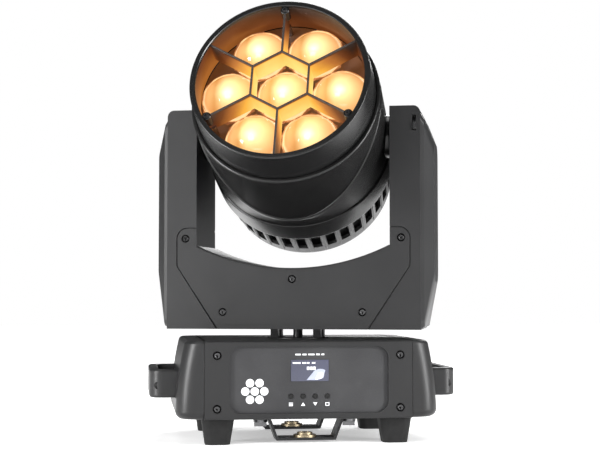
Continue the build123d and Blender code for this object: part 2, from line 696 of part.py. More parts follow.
with BuildPart() as tilt_lock:
    lock_x, lock_z = LOCK_SLOT
    block((lock_x - 1.8, lock_x + 1.8), (YOKE_FRONT - 1.6, YOKE_FRONT + 6.6), (lock_z - 8, lock_z + 1))
    block((lock_x - 5, lock_x + 5), (YOKE_FRONT + 6.6, YOKE_FRONT + 8.6), (lock_z - 10, lock_z + 3))
write(tilt_lock.part, "tilt_lock", YOKE_PLACE)


# ---------------------------------------------------------------- head shells
def ring_point(radius, angle):
    """A point on a ring of this radius about the beam axis."""
    return (radius * cos(radians(angle)), radius * sin(radians(angle)))


def behind_seam(lift):
    """A block that fills the head behind the seam between its two barrel shells."""
    steps = [(x, SEAM_LOW + lift + SEAM_RISE * (x / SEAM_HALF) ** 2) for x in range(-120, 121, 20)]
    with BuildSketch(facing_front(130)) as side_view:
        with BuildLine():
            Spline(*steps)
            Polyline(steps[-1], (120, -140), (-120, -140), steps[0])
        make_face()
    return side_view.sketch


with BuildPart() as front_bezel:
    turned(
        [
            (RIM_INNER, RIM_Z),
            (RIM_RADIUS - 1, RIM_Z),
            (RIM_RADIUS, RIM_Z - 1),
            (BEZEL_RADIUS, 96),
            (BEZEL_RADIUS, BEZEL_BACK),
            (101, BEZEL_BACK),
            (99, 104),
            (99, BAFFLE_FRONT),
            (RIM_INNER, BAFFLE_FRONT),
        ]
    )
write(front_bezel.part, "front_bezel", HEAD_PLACE)

with BuildPart() as hex_baffle:
    turned([(96, 104), (98.8, 104), (98.8, BAFFLE_FRONT), (96, BAFFLE_FRONT)])
    with BuildSketch(Plane.XY.offset(BAFFLE_BACK)):
        RegularPolygon(HEX_RADIUS + 1.1, 6, rotation=30)
        RegularPolygon(HEX_RADIUS - 1.1, 6, rotation=30, mode=Mode.SUBTRACT)
        for angle in HEX_ANGLES:
            with Locations(Location((*ring_point((HEX_RADIUS + 97) / 2, angle), 0), (0, 0, angle))):
                Rectangle(97 - HEX_RADIUS, 2)
    extrude(amount=BAFFLE_FRONT - BAFFLE_BACK)
    for angle in BOSS_ANGLES:
        rod(5, (BAFFLE_BACK, BAFFLE_FRONT), ring_point(RAIL_RING, angle))
write(hex_baffle.part, "hex_baffle", HEAD_PLACE)

with BuildPart() as bezel_screws:
    for angle in BOSS_ANGLES:
        rod(3.4, (BAFFLE_FRONT, BAFFLE_FRONT + 2.2), ring_point(RAIL_RING, angle))
write(bezel_screws.part, "bezel_screws", HEAD_PLACE)

with BuildPart() as front_barrel_shell:
    turned(BARREL_OUTLINE)
    extrude(behind_seam(SEAM_GAP), amount=260, mode=Mode.SUBTRACT)
write(front_barrel_shell.part, "front_barrel_shell", HEAD_PLACE)



def shelf(rim):
    """The inner ring that carries the heatsink and the zoom rails, out to this radius."""
    inner = HEATSINK_RADIUS - 4
    turned([(inner, SHELF_Z), (rim, SHELF_Z), (rim, SHELF_Z + SHEET), (inner, SHELF_Z + SHEET)])


with BuildPart() as rear_barrel_shell:
    turned(BARREL_OUTLINE)
    shelf(BARREL_RADIUS - 2)
    extrude(behind_seam(0), amount=260, mode=Mode.INTERSECT)
    shelf(SHELF_RIM)
    bar_along_x(AXLE_RADIUS + 0.2, (-130, 130), 0, 0, mode=Mode.SUBTRACT)
    for angle in BOSS_ANGLES:
        rod(RAIL_RADIUS, (SHELF_Z - 1, SHELF_Z + 5), ring_point(RAIL_RING, angle), mode=Mode.SUBTRACT)
write(rear_barrel_shell.part, "rear_barrel_shell", HEAD_PLACE)

with BuildPart() as tail_grille:
    turned(
        [
            (0, TAIL_BACK),
            (TAIL_END_RADIUS - 9, TAIL_BACK),
            (TAIL_END_RADIUS - 2.5, TAIL_BACK + 3),
            (TAIL_END_RADIUS, TAIL_BACK + 9),
            (TAIL_RADIUS, BARREL_BACK),
            (TAIL_RADIUS - 4, BARREL_BACK),
            (TAIL_END_RADIUS - 4, TAIL_BACK + 9),
            (TAIL_END_RADIUS - 9, TAIL_BACK + 4),
            (0, TAIL_BACK + 4),
        ]
    )
    with Locations((0, 0, -72)):
        with PolarLocations(TAIL_RADIUS, TAIL_SLOTS):
            Box(20, 10, 32, mode=Mode.SUBTRACT)
    with Locations((0, 0, TAIL_BACK)):
        with PolarLocations(62, 16):
            Box(46, 7, 20, mode=Mode.SUBTRACT)
write(tail_grille.part, "tail_grille", HEAD_PLACE)

# ---------------------------------------------------------------- head optics and cooling
with BuildPart() as heatsink:
    rod(HEATSINK_RADIUS, (42, SHELF_Z))
    for x in range(-66, 67, 12):
        reach = sqrt(70**2 - x**2)
        block((x - 1.2, x + 1.2), (-reach, reach), (-20, 42))
write(heatsink.part, "heatsink", HEAD_PLACE)

with BuildPart() as light_board:
    rod(HEATSINK_RADIUS - 5, (SHELF_Z, SHELF_Z + 1.6))
    for centre in LENS_CENTRES:
        with Locations((*centre, SHELF_Z + 2.8)):
            Box(9, 9, 2.4)
write(light_board.part, "light_board", HEAD_PLACE)

with BuildPart() as lens_carriage:
    rod(CARRIAGE_RADIUS, (LENS_SEAT - 3, LENS_SEAT))
    for centre in LENS_CENTRES:
        rod(26, (80, 100), centre, mode=Mode.SUBTRACT)
    for angle in BOSS_ANGLES[1:]:
        rod(RAIL_RADIUS + 3.5, (LENS_SEAT - 12, LENS_SEAT - 3), ring_point(RAIL_RING, angle))
        rod(RAIL_RADIUS + RUNNING, (70, 100), ring_point(RAIL_RING, angle), mode=Mode.SUBTRACT)
    rod(SCREW_RADIUS + CLEAR, (70, 100), ring_point(RAIL_RING, 90), mode=Mode.SUBTRACT)
write(lens_carriage.part, "lens_carriage", HEAD_PLACE)

with BuildPart() as lenses:
    with BuildSketch(Plane.XZ):
        with BuildLine():
            Polyline((0, LENS_APEX), (0, 74), (9, 74), (23, LENS_SEAT - 3), (25.6, LENS_SEAT - 3))
            Polyline((25.6, LENS_SEAT - 3), (25.6, LENS_SEAT), (LENS_RADIUS, LENS_SEAT))
            Line((LENS_RADIUS, LENS_SEAT), (LENS_RADIUS, LENS_SEAT + 2))
            ThreePointArc((LENS_RADIUS, LENS_SEAT + 2), DOME_MIDDLE, (0, LENS_APEX))
            Line((0, LENS_APEX), (0, 74))
        make_face()
    revolve(axis=Axis.Z)
    one_lens = lenses.part
    with Locations(*LENS_CENTRES[1:]):
        add(one_lens)
write(lenses.part, "lenses", HEAD_PLACE)

with BuildPart() as zoom_screw:
    rod(SCREW_RADIUS, (SHELF_Z + 0.5, 108), ring_point(RAIL_RING, 90))
write(zoom_screw.part, "zoom_screw", HEAD_PLACE)

with BuildPart() as zoom_rails:
    for angle in BOSS_ANGLES[1:]:
        rod(RAIL_RADIUS, (SHELF_Z, BAFFLE_BACK), ring_point(RAIL_RING, angle))
    block((-12, 12), (HEATSINK_RADIUS + 1, HEATSINK_RADIUS + 25), (22, SHELF_Z))
write(zoom_rails.part, "zoom_rails_and_motor", HEAD_PLACE)

with BuildPart() as tilt_axles:
    for side in (-1, 1):
        bar_along_x(24, sorted((side * 100, side * 103.5)), 0, 0)
        bar_along_x(AXLE_RADIUS, sorted((side * 103.5, side * 134)), 0, 0)
    bar_along_x(TILT_PULLEY_RADIUS, (near_x - 1, far_x + 1), 0, 0)
    bar_along_x(5, (-140, 140), 0, 0, mode=Mode.SUBTRACT)
write(tilt_axles.part, "tilt_axles", HEAD_PLACE)

with BuildPart() as fan_frame:
    block((-47, 47), (-47, 47), (FAN_BACK, FAN_FRONT))
    rod(FAN_HOLE, (FAN_BACK - 1, FAN_FRONT + 1), mode=Mode.SUBTRACT)
    rod(15, (FAN_FRONT - 3, FAN_FRONT))
    with BuildSketch(Plane.XY.offset(FAN_FRONT - 3)):
        Rectangle(90, 5)
        Rectangle(5, 90)
    extrude(amount=3)
    rod(2, (FAN_BACK + 2, FAN_FRONT - 3))
write(fan_frame.part, "fan_frame", HEAD_PLACE)

with BuildPart() as fan_rotor:
    rod(16, (FAN_BACK + 1, FAN_FRONT - 4))
    for k in range(7):
        blade = Location((*ring_point(28, k * 360 / 7), (FAN_BACK + FAN_FRONT - 3) / 2), (0, 0, k * 360 / 7))
        with Locations(blade * Location((0, 0, 0), (38, 0, 0))):
            Box(27, 20, 1.8)
    rod(2 + RUNNING, (FAN_BACK - 1, FAN_FRONT), mode=Mode.SUBTRACT)
write(fan_rotor.part, "fan_rotor", HEAD_PLACE)
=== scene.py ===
import json
from math import acos, atan2, cos, degrees, pi, radians, sin, sqrt

import bmesh
import bpy
from mathutils import Matrix, Vector


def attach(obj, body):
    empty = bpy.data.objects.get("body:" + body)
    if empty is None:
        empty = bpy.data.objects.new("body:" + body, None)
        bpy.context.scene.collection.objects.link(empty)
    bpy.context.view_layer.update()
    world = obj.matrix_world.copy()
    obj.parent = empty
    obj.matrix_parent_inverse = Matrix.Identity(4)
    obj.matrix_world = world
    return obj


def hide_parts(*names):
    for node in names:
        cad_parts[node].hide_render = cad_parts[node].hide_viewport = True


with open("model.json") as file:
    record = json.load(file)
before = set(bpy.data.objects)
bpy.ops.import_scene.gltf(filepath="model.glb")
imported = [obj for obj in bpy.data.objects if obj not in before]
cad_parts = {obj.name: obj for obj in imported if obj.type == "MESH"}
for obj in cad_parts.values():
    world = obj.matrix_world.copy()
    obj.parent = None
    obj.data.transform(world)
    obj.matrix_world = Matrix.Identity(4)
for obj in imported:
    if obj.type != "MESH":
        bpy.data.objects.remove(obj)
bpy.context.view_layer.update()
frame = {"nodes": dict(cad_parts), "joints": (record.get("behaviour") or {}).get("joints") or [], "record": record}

MM = 0.001
scene = bpy.context.scene

# ---------------------------------------------------------------- frames taken from the joints
joints = {joint["name"]: joint for joint in frame["joints"]}
TILT_AXIS = Vector(joints["tilt"]["axis"]).normalized()
BEAM = Vector(joints["zoom"]["axis"]).normalized()
PIVOT = Vector(joints["tilt"]["pos_m"])
BASE = Matrix.Identity(4)
YOKE = Matrix.Rotation(atan2(TILT_AXIS.y, TILT_AXIS.x), 4, "Z")
HEAD = Matrix((TILT_AXIS, BEAM.cross(TILT_AXIS), BEAM)).transposed().to_4x4()
HEAD.translation = PIVOT


def local_box(node, place=BASE):
    """A CAD node's lowest and highest corners in a turned frame, in millimetres."""
    back = place.inverted()
    points = [back @ vertex.co for vertex in frame["nodes"][node].data.vertices]
    low = Vector(min(point[i] for point in points) for i in range(3)) / MM
    high = Vector(max(point[i] for point in points) for i in range(3)) / MM
    return low, high


# ---------------------------------------------------------------- node trees
class Wire:
    """One output of a node tree; each arithmetic operator adds a Math node."""

    def __init__(self, nodes, socket):
        self.nodes = nodes
        self.socket = socket

    def math(self, operation, *others, clamp=False):
        settings = {"operation": operation, "use_clamp": clamp}
        values = dict(enumerate((self, *others)))
        return self.nodes.add("ShaderNodeMath", settings, values)

    def flipped(self, operation, other):
        return self.nodes.add("ShaderNodeMath", {"operation": operation}, {0: other, 1: self})

    def __add__(self, other):
        return self.math("ADD", other)

    def __radd__(self, other):
        return self.flipped("ADD", other)

    def __sub__(self, other):
        return self.math("SUBTRACT", other)

    def __rsub__(self, other):
        return self.flipped("SUBTRACT", other)

    def __mul__(self, other):
        return self.math("MULTIPLY", other)

    def __rmul__(self, other):
        return self.flipped("MULTIPLY", other)

    def __truediv__(self, other):
        return self.math("DIVIDE", other)

    def __pow__(self, other):
        return self.math("POWER", other)

    def clamped(self):
        return self.math("ADD", 0.0, clamp=True)

    def ramp(self, *stops):
        return self.nodes.add("ShaderNodeValToRGB", {"stops": stops}, {0: self})


class Nodes:
    """Builds a material's or a modifier's node tree."""

    def __init__(self, tree):
        self.tree = tree
        tree.nodes.clear()

    def add(self, kind, settings=None, inputs=None, output=0):
        node = self.tree.nodes.new(kind)
        for key, value in (settings or {}).items():
            if key == "stops":
                self.set_stops(node.color_ramp, value)
            else:
                setattr(node, key, value)
        for key, value in (inputs or {}).items():
            if isinstance(value, Wire):
                self.tree.links.new(value.socket, node.inputs[key])
            else:
                node.inputs[key].default_value = value
        return Wire(self, node.outputs[output]) if len(node.outputs) else None

    @staticmethod
    def set_stops(ramp, stops):
        while len(ramp.elements) < len(stops):
            ramp.elements.new(1.0)
        for element, (position, colour) in zip(ramp.elements, stops):
            element.position = position
            element.color = (*colour, 1.0)

    def place(self):
        return self.add("ShaderNodeTexCoord", output="Object")

    def noise(self, scale, detail=2.0, rough=0.5, vector=None):
        inputs = {"Scale": scale, "Detail": detail, "Roughness": rough, "Vector": vector or self.place()}
        return self.add("ShaderNodeTexNoise", None, inputs)

    def attribute(self, name):
        return self.add("ShaderNodeAttribute", {"attribute_name": name}, output="Fac")

    def mix(self, factor, first, second):
        return self.add("ShaderNodeMix", {"data_type": "RGBA"}, {0: factor, 6: first, 7: second}, 2)

    def bump(self, height, depth, strength):
        return self.add("ShaderNodeBump", None, {"Height": height, "Distance": depth, "Strength": strength})


def colour(red, green=None, blue=None):
    """An opaque colour from one grey or three channels."""
    return (red, red, red, 1.0) if green is None else (red, green, blue, 1.0)


def finish(name, build):
    """Makes a material; build returns the Principled sockets to fill."""
    material = bpy.data.materials.new(name)
    material.use_nodes = True
    nodes = Nodes(material.node_tree)
    shader = nodes.add("ShaderNodeBsdfPrincipled", None, build(nodes))
    nodes.add("ShaderNodeOutputMaterial", None, {"Surface": shader})
    return material


# ---------------------------------------------------------------- finishes
def moulded(dark, light, smooth, rough, grain=1400.0, depth=0.00006, coat=0.0, shine=0.3):
    """Textured black moulding: fine grain, slow changes of sheen and faint handling marks."""
    worn = colour(*(channel * 2.2 for channel in light))

    def build(nodes):
        cloudy = nodes.noise(14.0, 3.0)
        fine = nodes.noise(grain, 2.0, 0.7)
        marks = nodes.noise(55.0, 5.0, 0.75).ramp((0.55, (0, 0, 0)), (0.75, (1, 1, 1)))
        tone = nodes.mix(cloudy, colour(*dark), colour(*light))
        dusty = nodes.mix(marks * 0.05, tone, worn)
        speck = nodes.mix((fine * 1.6 - 0.5).clamped() * 0.3, dusty, colour(*light))
        return {
            "Base Color": speck,
            "Roughness": cloudy * (rough - smooth) + marks * 0.02 + smooth,
            "Normal": nodes.bump(fine, depth, 0.6),
            "Coat Weight": coat,
            "Coat Roughness": 0.25,
            "Specular IOR Level": shine,
        }

    return build


def brushed(base, smooth, rough, metallic=1.0, scale=(900.0, 900.0, 40.0)):
    """Metal with a drawn grain along Z and slight stains."""

    def build(nodes):
        stretched = nodes.add("ShaderNodeMapping", None, {"Vector": nodes.place(), "Scale": scale})
        grain = nodes.noise(1.0, 3.0, 0.6, stretched)
        stain = nodes.noise(60.0, 4.0, 0.6)
        darker = tuple(channel * 0.72 for channel in base)
        return {
            "Base Color": nodes.mix(stain, colour(*darker), colour(*base)),
            "Metallic": metallic,
            "Roughness": grain * (rough - smooth) + smooth,
            "Normal": nodes.bump(grain, 0.00003, 0.5),
        }

    return build


def amber_lens(nodes):
    """A lit lens: white over its light source, gold across the dome and copper at its edge."""
    reach = nodes.attribute("reach")
    across = nodes.attribute("across")
    swirl = nodes.noise(70.0, 2.0)
    ring = (reach + (swirl - 0.5) * 0.12).clamped()
    glow = ring.ramp(
        (0.0, (1.0, 1.0, 0.94)),
        (0.11, (1.0, 0.95, 0.7)),
        (0.27, (1.0, 0.76, 0.36)),
        (0.55, (0.98, 0.6, 0.24)),
        (0.84, (0.85, 0.42, 0.15)),
        (0.915, (1.0, 0.72, 0.4)),
        (0.945, (0.95, 0.6, 0.26)),
        (0.975, (0.3, 0.1, 0.03)),
        (1.0, (0.13, 0.045, 0.018)),
    )
    band = across.ramp((0.12, (0, 0, 0)), (0.26, (1, 1, 1)), (0.42, (0, 0, 0)))
    edge = ring.ramp((0.25, (0, 0, 0)), (0.5, (1, 1, 1)), (0.88, (1, 1, 1)), (0.93, (0, 0, 0)))
    return {
        "Base Color": ring.ramp((0.0, (0.6, 0.42, 0.2)), (1.0, (0.25, 0.1, 0.035))),
        "Roughness": swirl * 0.06 + 0.05,
        "Emission Color": nodes.mix(band * edge * 0.7, glow, colour(0.55, 0.2, 0.02)),
        "Emission Strength": 1.0,
        "Coat Weight": 0.4,
        "Coat Roughness": 0.05,
        "IOR": 1.49,
        "Specular IOR Level": 0.3,
    }


def baffle_with_painted_lens_light(nodes):
    """Gloss moulding with the light from the lenses painted on as emission and a warmer base colour: dark lips at
    the front, amber and copper further in.
    """
    glow = nodes.attribute("glow")
    smudges_and_patchy_light = nodes.noise(38.0, 3.0)
    # painted light: the lens light level of each point, made patchy by noise
    painted_light_level = (glow + (smudges_and_patchy_light - 0.5) * 0.3 * glow).clamped()
    light = painted_light_level.ramp(
        (0.0, (0.0, 0.0, 0.0)),
        (0.12, (0.018, 0.006, 0.002)),
        (0.3, (0.14, 0.036, 0.008)),
        (0.5, (0.5, 0.17, 0.03)),
        (0.72, (1.0, 0.48, 0.06)),
        (1.0, (1.0, 0.8, 0.24)),
    )
    # painted light: the base colour turns copper-brown where the painted lens light is strong
    painted_light_tint = painted_light_level.ramp((0.0, (0.035, 0.033, 0.032)), (0.2, (0.03, 0.012, 0.006)), (1.0, (0.06, 0.028, 0.009)))
    return {
        "Base Color": painted_light_tint,
        "Roughness": smudges_and_patchy_light * 0.15 + 0.3,
        "Emission Color": light,
        "Emission Strength": 0.95,
        "Specular IOR Level": 0.12,
        "Normal": nodes.bump(nodes.noise(700.0, 2.0), 0.00004, 0.4),
    }


def carriage_with_painted_lens_light(nodes):
    """Black moulding with painted light: a dull copper glow from the lenses painted in as emission, and a
    copper-brown base colour.
    """
    cloud = nodes.noise(26.0, 3.0)
    return {
        # painted light: base colour tinted copper-brown and copper emission, for lens light falling on the
        # carriage
        "Base Color": nodes.mix(cloud, colour(0.03, 0.015, 0.008), colour(0.07, 0.03, 0.012)),
        "Roughness": cloud * 0.15 + 0.35,
        "Emission Color": nodes.mix(cloud, colour(0.02, 0.006, 0.002), colour(0.16, 0.05, 0.012)),
        "Emission Strength": 0.9,
    }


def screen_glass(nodes):
    """Dark blue display glass with a faint uneven glow and a fine roughness grain."""
    pixels = nodes.noise(2600.0, 1.0)
    band = nodes.noise(30.0, 1.0)
    return {
        "Base Color": nodes.mix(band, colour(0.008, 0.009, 0.018), colour(0.02, 0.022, 0.045)),
        "Roughness": pixels * 0.05 + 0.08,
        "Emission Color": nodes.mix(band, colour(0.03, 0.034, 0.07), colour(0.055, 0.06, 0.11)),
        "Emission Strength": 0.7,
        "Coat Weight": 0.5,
        "Coat Roughness": 0.04,
    }


def lit_print(red, green, blue, strength):
    """Printed or lit marking with slightly uneven ink."""

    def build(nodes):
        ink = nodes.noise(900.0, 2.0)
        full = colour(red, green, blue)
        thin = colour(red * 0.82, green * 0.82, blue * 0.82)
        return {
            "Base Color": nodes.mix(ink, thin, full),
            "Roughness": ink * 0.1 + 0.4,
            "Emission Color": nodes.mix(ink, thin, full),
            "Emission Strength": strength,
        }

    return build


def soft_rubber(nodes):
    """Matt rubber with a slightly mottled, dusty skin."""
    mottle = nodes.noise(160.0, 4.0, 0.6)
    fine = nodes.noise(2200.0, 1.0)
    return {
        "Base Color": nodes.mix(mottle, colour(0.009), colour(0.022)),
        "Roughness": mottle * 0.18 + 0.5,
        "Specular IOR Level": 0.12,
        "Normal": nodes.bump(fine, 0.00005, 0.5),
    }


def circuit_board(nodes):
    """Green solder mask with fine tracks showing through."""
    spread = {"Scale": 260.0, "Vector": nodes.place()}
    cells = nodes.add("ShaderNodeTexVoronoi", {"feature": "DISTANCE_TO_EDGE"}, spread)
    track = cells.ramp((0.04, (1, 1, 1)), (0.08, (0, 0, 0)))
    return {
        "Base Color": nodes.mix(track * 0.6, colour(0.01, 0.09, 0.035), colour(0.05, 0.22, 0.09)),
        "Roughness": track * 0.15 + 0.3,
        "Normal": nodes.bump(track, 0.00005, 0.4),
    }


FINISH = {
    "housing_plastic": moulded((0.010, 0.010, 0.0105), (0.018, 0.018, 0.0185), 0.34, 0.43),
    "handle_plastic": moulded((0.012, 0.012, 0.0125), (0.022, 0.022, 0.0225), 0.32, 0.4),
    "panel_face": moulded((0.006, 0.006, 0.007), (0.05, 0.05, 0.052), 0.45, 0.6, 850.0, 0.00016, 0.0, 0.25),
    "display_glass": screen_glass,
    "button_rubber": soft_rubber,
    "barrel_plastic": moulded((0.005, 0.005, 0.005), (0.009, 0.009, 0.009), 0.2, 0.28, 1800.0, 0.00002),
    "tail_metal": moulded((0.035, 0.035, 0.036), (0.065, 0.065, 0.066), 0.28, 0.38),
    "chassis_steel": moulded((0.01, 0.01, 0.0105), (0.018, 0.018, 0.0185), 0.3, 0.4, 1100.0, 0.00008),
    "lock_metal": brushed((0.2, 0.2, 0.205), 0.28, 0.42),
    "locator_brass": brushed((0.4, 0.33, 0.22), 0.35, 0.5),
    "screw_black": brushed((0.09, 0.09, 0.092), 0.2, 0.3, 1.0, (500.0, 500.0, 500.0)),
    "foot_rubber": soft_rubber,
    "belt_rubber": soft_rubber,
    "socket_plastic": moulded((0.012, 0.012, 0.013), (0.02, 0.02, 0.021), 0.25, 0.34),
    "board": circuit_board,
    "cast_aluminium": brushed((0.66, 0.66, 0.68), 0.35, 0.5, 1.0, (300.0, 300.0, 300.0)),
    "supply_case": brushed((0.6, 0.61, 0.63), 0.3, 0.42),
    "bearing_steel": brushed((0.55, 0.55, 0.57), 0.18, 0.3),
    "motor_case": moulded((0.02, 0.02, 0.021), (0.035, 0.035, 0.036), 0.3, 0.4),
    "baffle_copper": baffle_with_painted_lens_light,
    "lens_amber": amber_lens,
    "carriage_plastic": moulded((0.02, 0.018, 0.016), (0.03, 0.026, 0.024), 0.35, 0.45),
    "carriage_glow": carriage_with_painted_lens_light,
    # white panel print: printed ink with a faint painted glow added as emission
    "print_white": lit_print(0.85, 0.86, 0.88, 0.25),
    "print_screen": lit_print(0.3, 0.32, 0.4, 0.5),
    "print_screen_pale": lit_print(0.7, 0.7, 0.75, 0.6),
    # near-black finish used as painted shade inside the tail
    "inner_dark": moulded((0.004, 0.004, 0.004), (0.008, 0.008, 0.008), 0.6, 0.7),
}
MATERIALS = {name: finish(name, build) for name, build in FINISH.items()}

for part in frame["record"]["subparts"]:
    cad_object = frame["nodes"][part["node"]]
    cad_object.data.materials.clear()
    cad_object.data.materials.append(MATERIALS[part["material_slot"]])


# ---------------------------------------------------------------- mesh tools
def new_object(name, mesh):
    """Links a mesh to the scene at the origin."""
    made = bpy.data.objects.new(name, mesh)
    scene.collection.objects.link(made)
    return made


def mesh_of(name, points, faces, place=BASE):
    """A clean mesh from millimetre points in a frame, with outward faces."""
    mesh = bpy.data.meshes.new(name)
    mesh.from_pydata([place @ (Vector(point) * MM) for point in points], [], faces)
    shape = bmesh.new()
    shape.from_mesh(mesh)
    bmesh.ops.remove_doubles(shape, verts=shape.verts, dist=0.00001)
    bmesh.ops.recalc_face_normals(shape, faces=shape.faces)
    shape.to_mesh(mesh)
    shape.free()
    return mesh


def skinned(name, loops, place=BASE, wrap=False):
    """Joins closed loops of equal count by quads; wrap joins the last loop to the first."""
    count = len(loops[0])
    points = [point for loop in loops for point in loop]
    faces = []
    for row in range(len(loops) - (0 if wrap else 1)):
        here = row * count
        after = (row + 1) % len(loops) * count
        for k in range(count):
            step = (k + 1) % count
            faces.append((here + k, here + step, after + step, after + k))
    if not wrap:
        faces.append(tuple(range(count)))
        faces.append(tuple(range(len(points) - count, len(points))))
    return mesh_of(name, points, faces, place)


def lathed(name, profile, segments, place=BASE):
    """Turns a closed profile, given as a list or as a function of the angle, about Z."""
    loops = []
    for k in range(segments):
        angle = 2 * pi * k / segments
        outline = profile(angle) if callable(profile) else profile
        loops.append([(radius * cos(angle), radius * sin(angle), z) for radius, z in outline])
    return skinned(name, loops, place, wrap=True)


def arc(centre, radius, start, end, steps):
    """Points along an arc, angles in degrees."""
    turns = [radians(start + (end - start) * k / steps) for k in range(steps + 1)]
    return [(centre[0] + radius * cos(turn), centre[1] + radius * sin(turn)) for turn in turns]


def rounded(width, height, radius, steps=8, centre=(0, 0)):
    """A rounded rectangle's outline."""
    x, y = width / 2 - radius, height / 2 - radius
    outline = []
    for k, (sx, sy) in enumerate(((1, 1), (-1, 1), (-1, -1), (1, -1))):
        corner = (centre[0] + sx * x, centre[1] + sy * y)
        outline += arc(corner, radius, 90 * k, 90 * k + 90, steps)
    return outline


def upright(outline, y):
    """Puts a flat outline in the XZ plane at y."""
    return [(x, y, z) for x, z in outline]


def settled(item):
    """Applies every modifier and leaves a plain mesh."""
    bpy.context.view_layer.update()
    evaluated = item.evaluated_get(bpy.context.evaluated_depsgraph_get())
    mesh = bpy.data.meshes.new_from_object(evaluated)
    item.modifiers.clear()
    item.data = mesh
    return item


def carved(item, cutters):
    """Cuts other objects out of an item and removes them."""
    for cutter in cutters:
        change = item.modifiers.new("cut", "BOOLEAN")
        change.operation = "DIFFERENCE"
        change.solver = "EXACT"
        change.object = cutter
    settled(item)
    for cutter in cutters:
        bpy.data.objects.remove(cutter)
    return item


def softened(item, width, angle):
    """Rounds the item's sharp edges so that they catch the light."""
    shape = bmesh.new()
    shape.from_mesh(item.data)
    bmesh.ops.remove_doubles(shape, verts=shape.verts, dist=0.000005)
    bmesh.ops.dissolve_limit(shape, angle_limit=radians(0.6), verts=shape.verts, edges=shape.edges)
    shape.to_mesh(item.data)
    shape.free()
    edge = item.modifiers.new("edge", "BEVEL")
    edge.width = width * MM
    edge.segments = 3
    edge.limit_method = "ANGLE"
    edge.angle_limit = radians(angle)
    edge.use_clamp_overlap = True
    return settled(item)


def fitted(item, body, slot, *nodes, material=None, angle=32.0):
    """Gives a piece its shading, its finish, its body and the CAD nodes that it stands for."""
    item.data.materials.clear()
    item.data.materials.append(MATERIALS[material or slot])
    item.data.shade_smooth()
    item.data.set_sharp_from_angle(angle=radians(angle))
    flatter = item.modifiers.new("normals", "WEIGHTED_NORMAL")
    flatter.keep_sharp = True
    flatter.weight = 60
    settled(item)
    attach(item, body)
    if nodes:
        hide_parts(*nodes)
    return item


def cylinder(name, radius, start, end, place):
    """A plain round bar between two points, in millimetres."""
    steps = 40
    start, end = Vector(start), Vector(end)
    turn = (end - start).to_track_quat("Z", "Y").to_matrix().to_4x4()
    rings = []
    for height in (0, (end - start).length):
        ring = [Vector((*point, height)) for point in arc((0, 0), radius, 0, 360 - 360 / steps, steps - 1)]
        rings.append([start + (turn @ point) for point in ring])
    return new_object(name, skinned(name, rings, place))


def refined(node, width, angle):
    """A copy of a CAD node with rounded edges."""
    return softened(new_object(f"{node}_detailed", frame["nodes"][node].data.copy()), width, angle)


# ---------------------------------------------------------------- repeated pieces by geometry nodes
def node_group(name, numbers, build):
    """A geometry node group with named number inputs and a finish; build returns its geometry."""
    tree = bpy.data.node_groups.new(name, "GeometryNodeTree")
    tree.interface.new_socket("Geometry", in_out="INPUT", socket_type="NodeSocketGeometry")
    for label, kind in numbers:
        tree.interface.new_socket(label, in_out="INPUT", socket_type=kind)
    tree.interface.new_socket("Finish", in_out="INPUT", socket_type="NodeSocketMaterial")
    tree.interface.new_socket("Geometry", in_out="OUTPUT", socket_type="NodeSocketGeometry")
    nodes = Nodes(tree)
    labels = [label for label, kind in numbers] + ["Geometry", "Finish"]
    given = {label: nodes.add("NodeGroupInput", output=label) for label in labels}
    real = nodes.add("GeometryNodeRealizeInstances", None, {"Geometry": build(nodes, given)})
    coated = nodes.add("GeometryNodeSetMaterial", None, {"Geometry": real, "Material": given["Finish"]})
    nodes.add("NodeGroupOutput", None, {"Geometry": coated})
    return tree


def grown(name, mesh, tree, **inputs):
    """Runs a node group on a mesh and keeps the result as a plain mesh."""
    item = new_object(name, mesh)
    growth = item.modifiers.new("growth", "NODES")
    growth.node_group = tree
    for socket in tree.interface.items_tree:
        key = socket.name.lower().replace(" ", "_")
        if socket.in_out == "INPUT" and key in inputs:
            growth[socket.identifier] = inputs[key]
    return settled(item)


def build_screw(nodes, given):
    """A chamfered head with a cross recess, set on every point along its facing direction."""
    radius, height = given["Head Radius"], given["Head Height"]
    head = nodes.add(
        "GeometryNodeMeshCone",
        {"fill_type": "NGON"},
        {"Vertices": 28, "Radius Bottom": radius, "Radius Top": radius * 0.68, "Depth": height},
    )
    slots = []
    for across, along in ((0.3, 1.15), (1.15, 0.3)):
        size = nodes.add("ShaderNodeCombineXYZ", None, {0: radius * across, 1: radius * along, 2: height})
        cube = nodes.add("GeometryNodeMeshCube", None, {"Size": size})
        lift = nodes.add("ShaderNodeCombineXYZ", None, {2: height * 0.95})
        slots.append(nodes.add("GeometryNodeTransform", None, {"Geometry": cube, "Translation": lift}))
    cross = nodes.add("GeometryNodeMeshBoolean", {"operation": "UNION"}, {1: slots[0]})
    nodes.tree.links.new(slots[1].socket, cross.socket.node.inputs[1])
    cut = nodes.add("GeometryNodeMeshBoolean", {"operation": "DIFFERENCE"}, {0: head, 1: cross})
    facing = nodes.add("GeometryNodeInputNamedAttribute", {"data_type": "FLOAT_VECTOR"}, {"Name": "facing"})
    turn = nodes.add("FunctionNodeAlignRotationToVector", {"axis": "Z"}, {"Vector": facing})
    inputs = {"Points": given["Geometry"], "Instance": cut, "Rotation": turn}
    return nodes.add("GeometryNodeInstanceOnPoints", None, inputs)


def build_ring(nodes, given):
    """Copies of one shape turned evenly about Z."""
    points = nodes.add("GeometryNodePoints", None, {"Count": given["Count"]})
    step = nodes.add("GeometryNodeInputIndex") * given["Step"] + given["Start"]
    turn = nodes.add("FunctionNodeAxisAngleToRotation", None, {"Axis": (0.0, 0.0, 1.0), "Angle": step})
    inputs = {"Points": points, "Instance": given["Geometry"], "Rotation": turn}
    return nodes.add("GeometryNodeInstanceOnPoints", None, inputs)


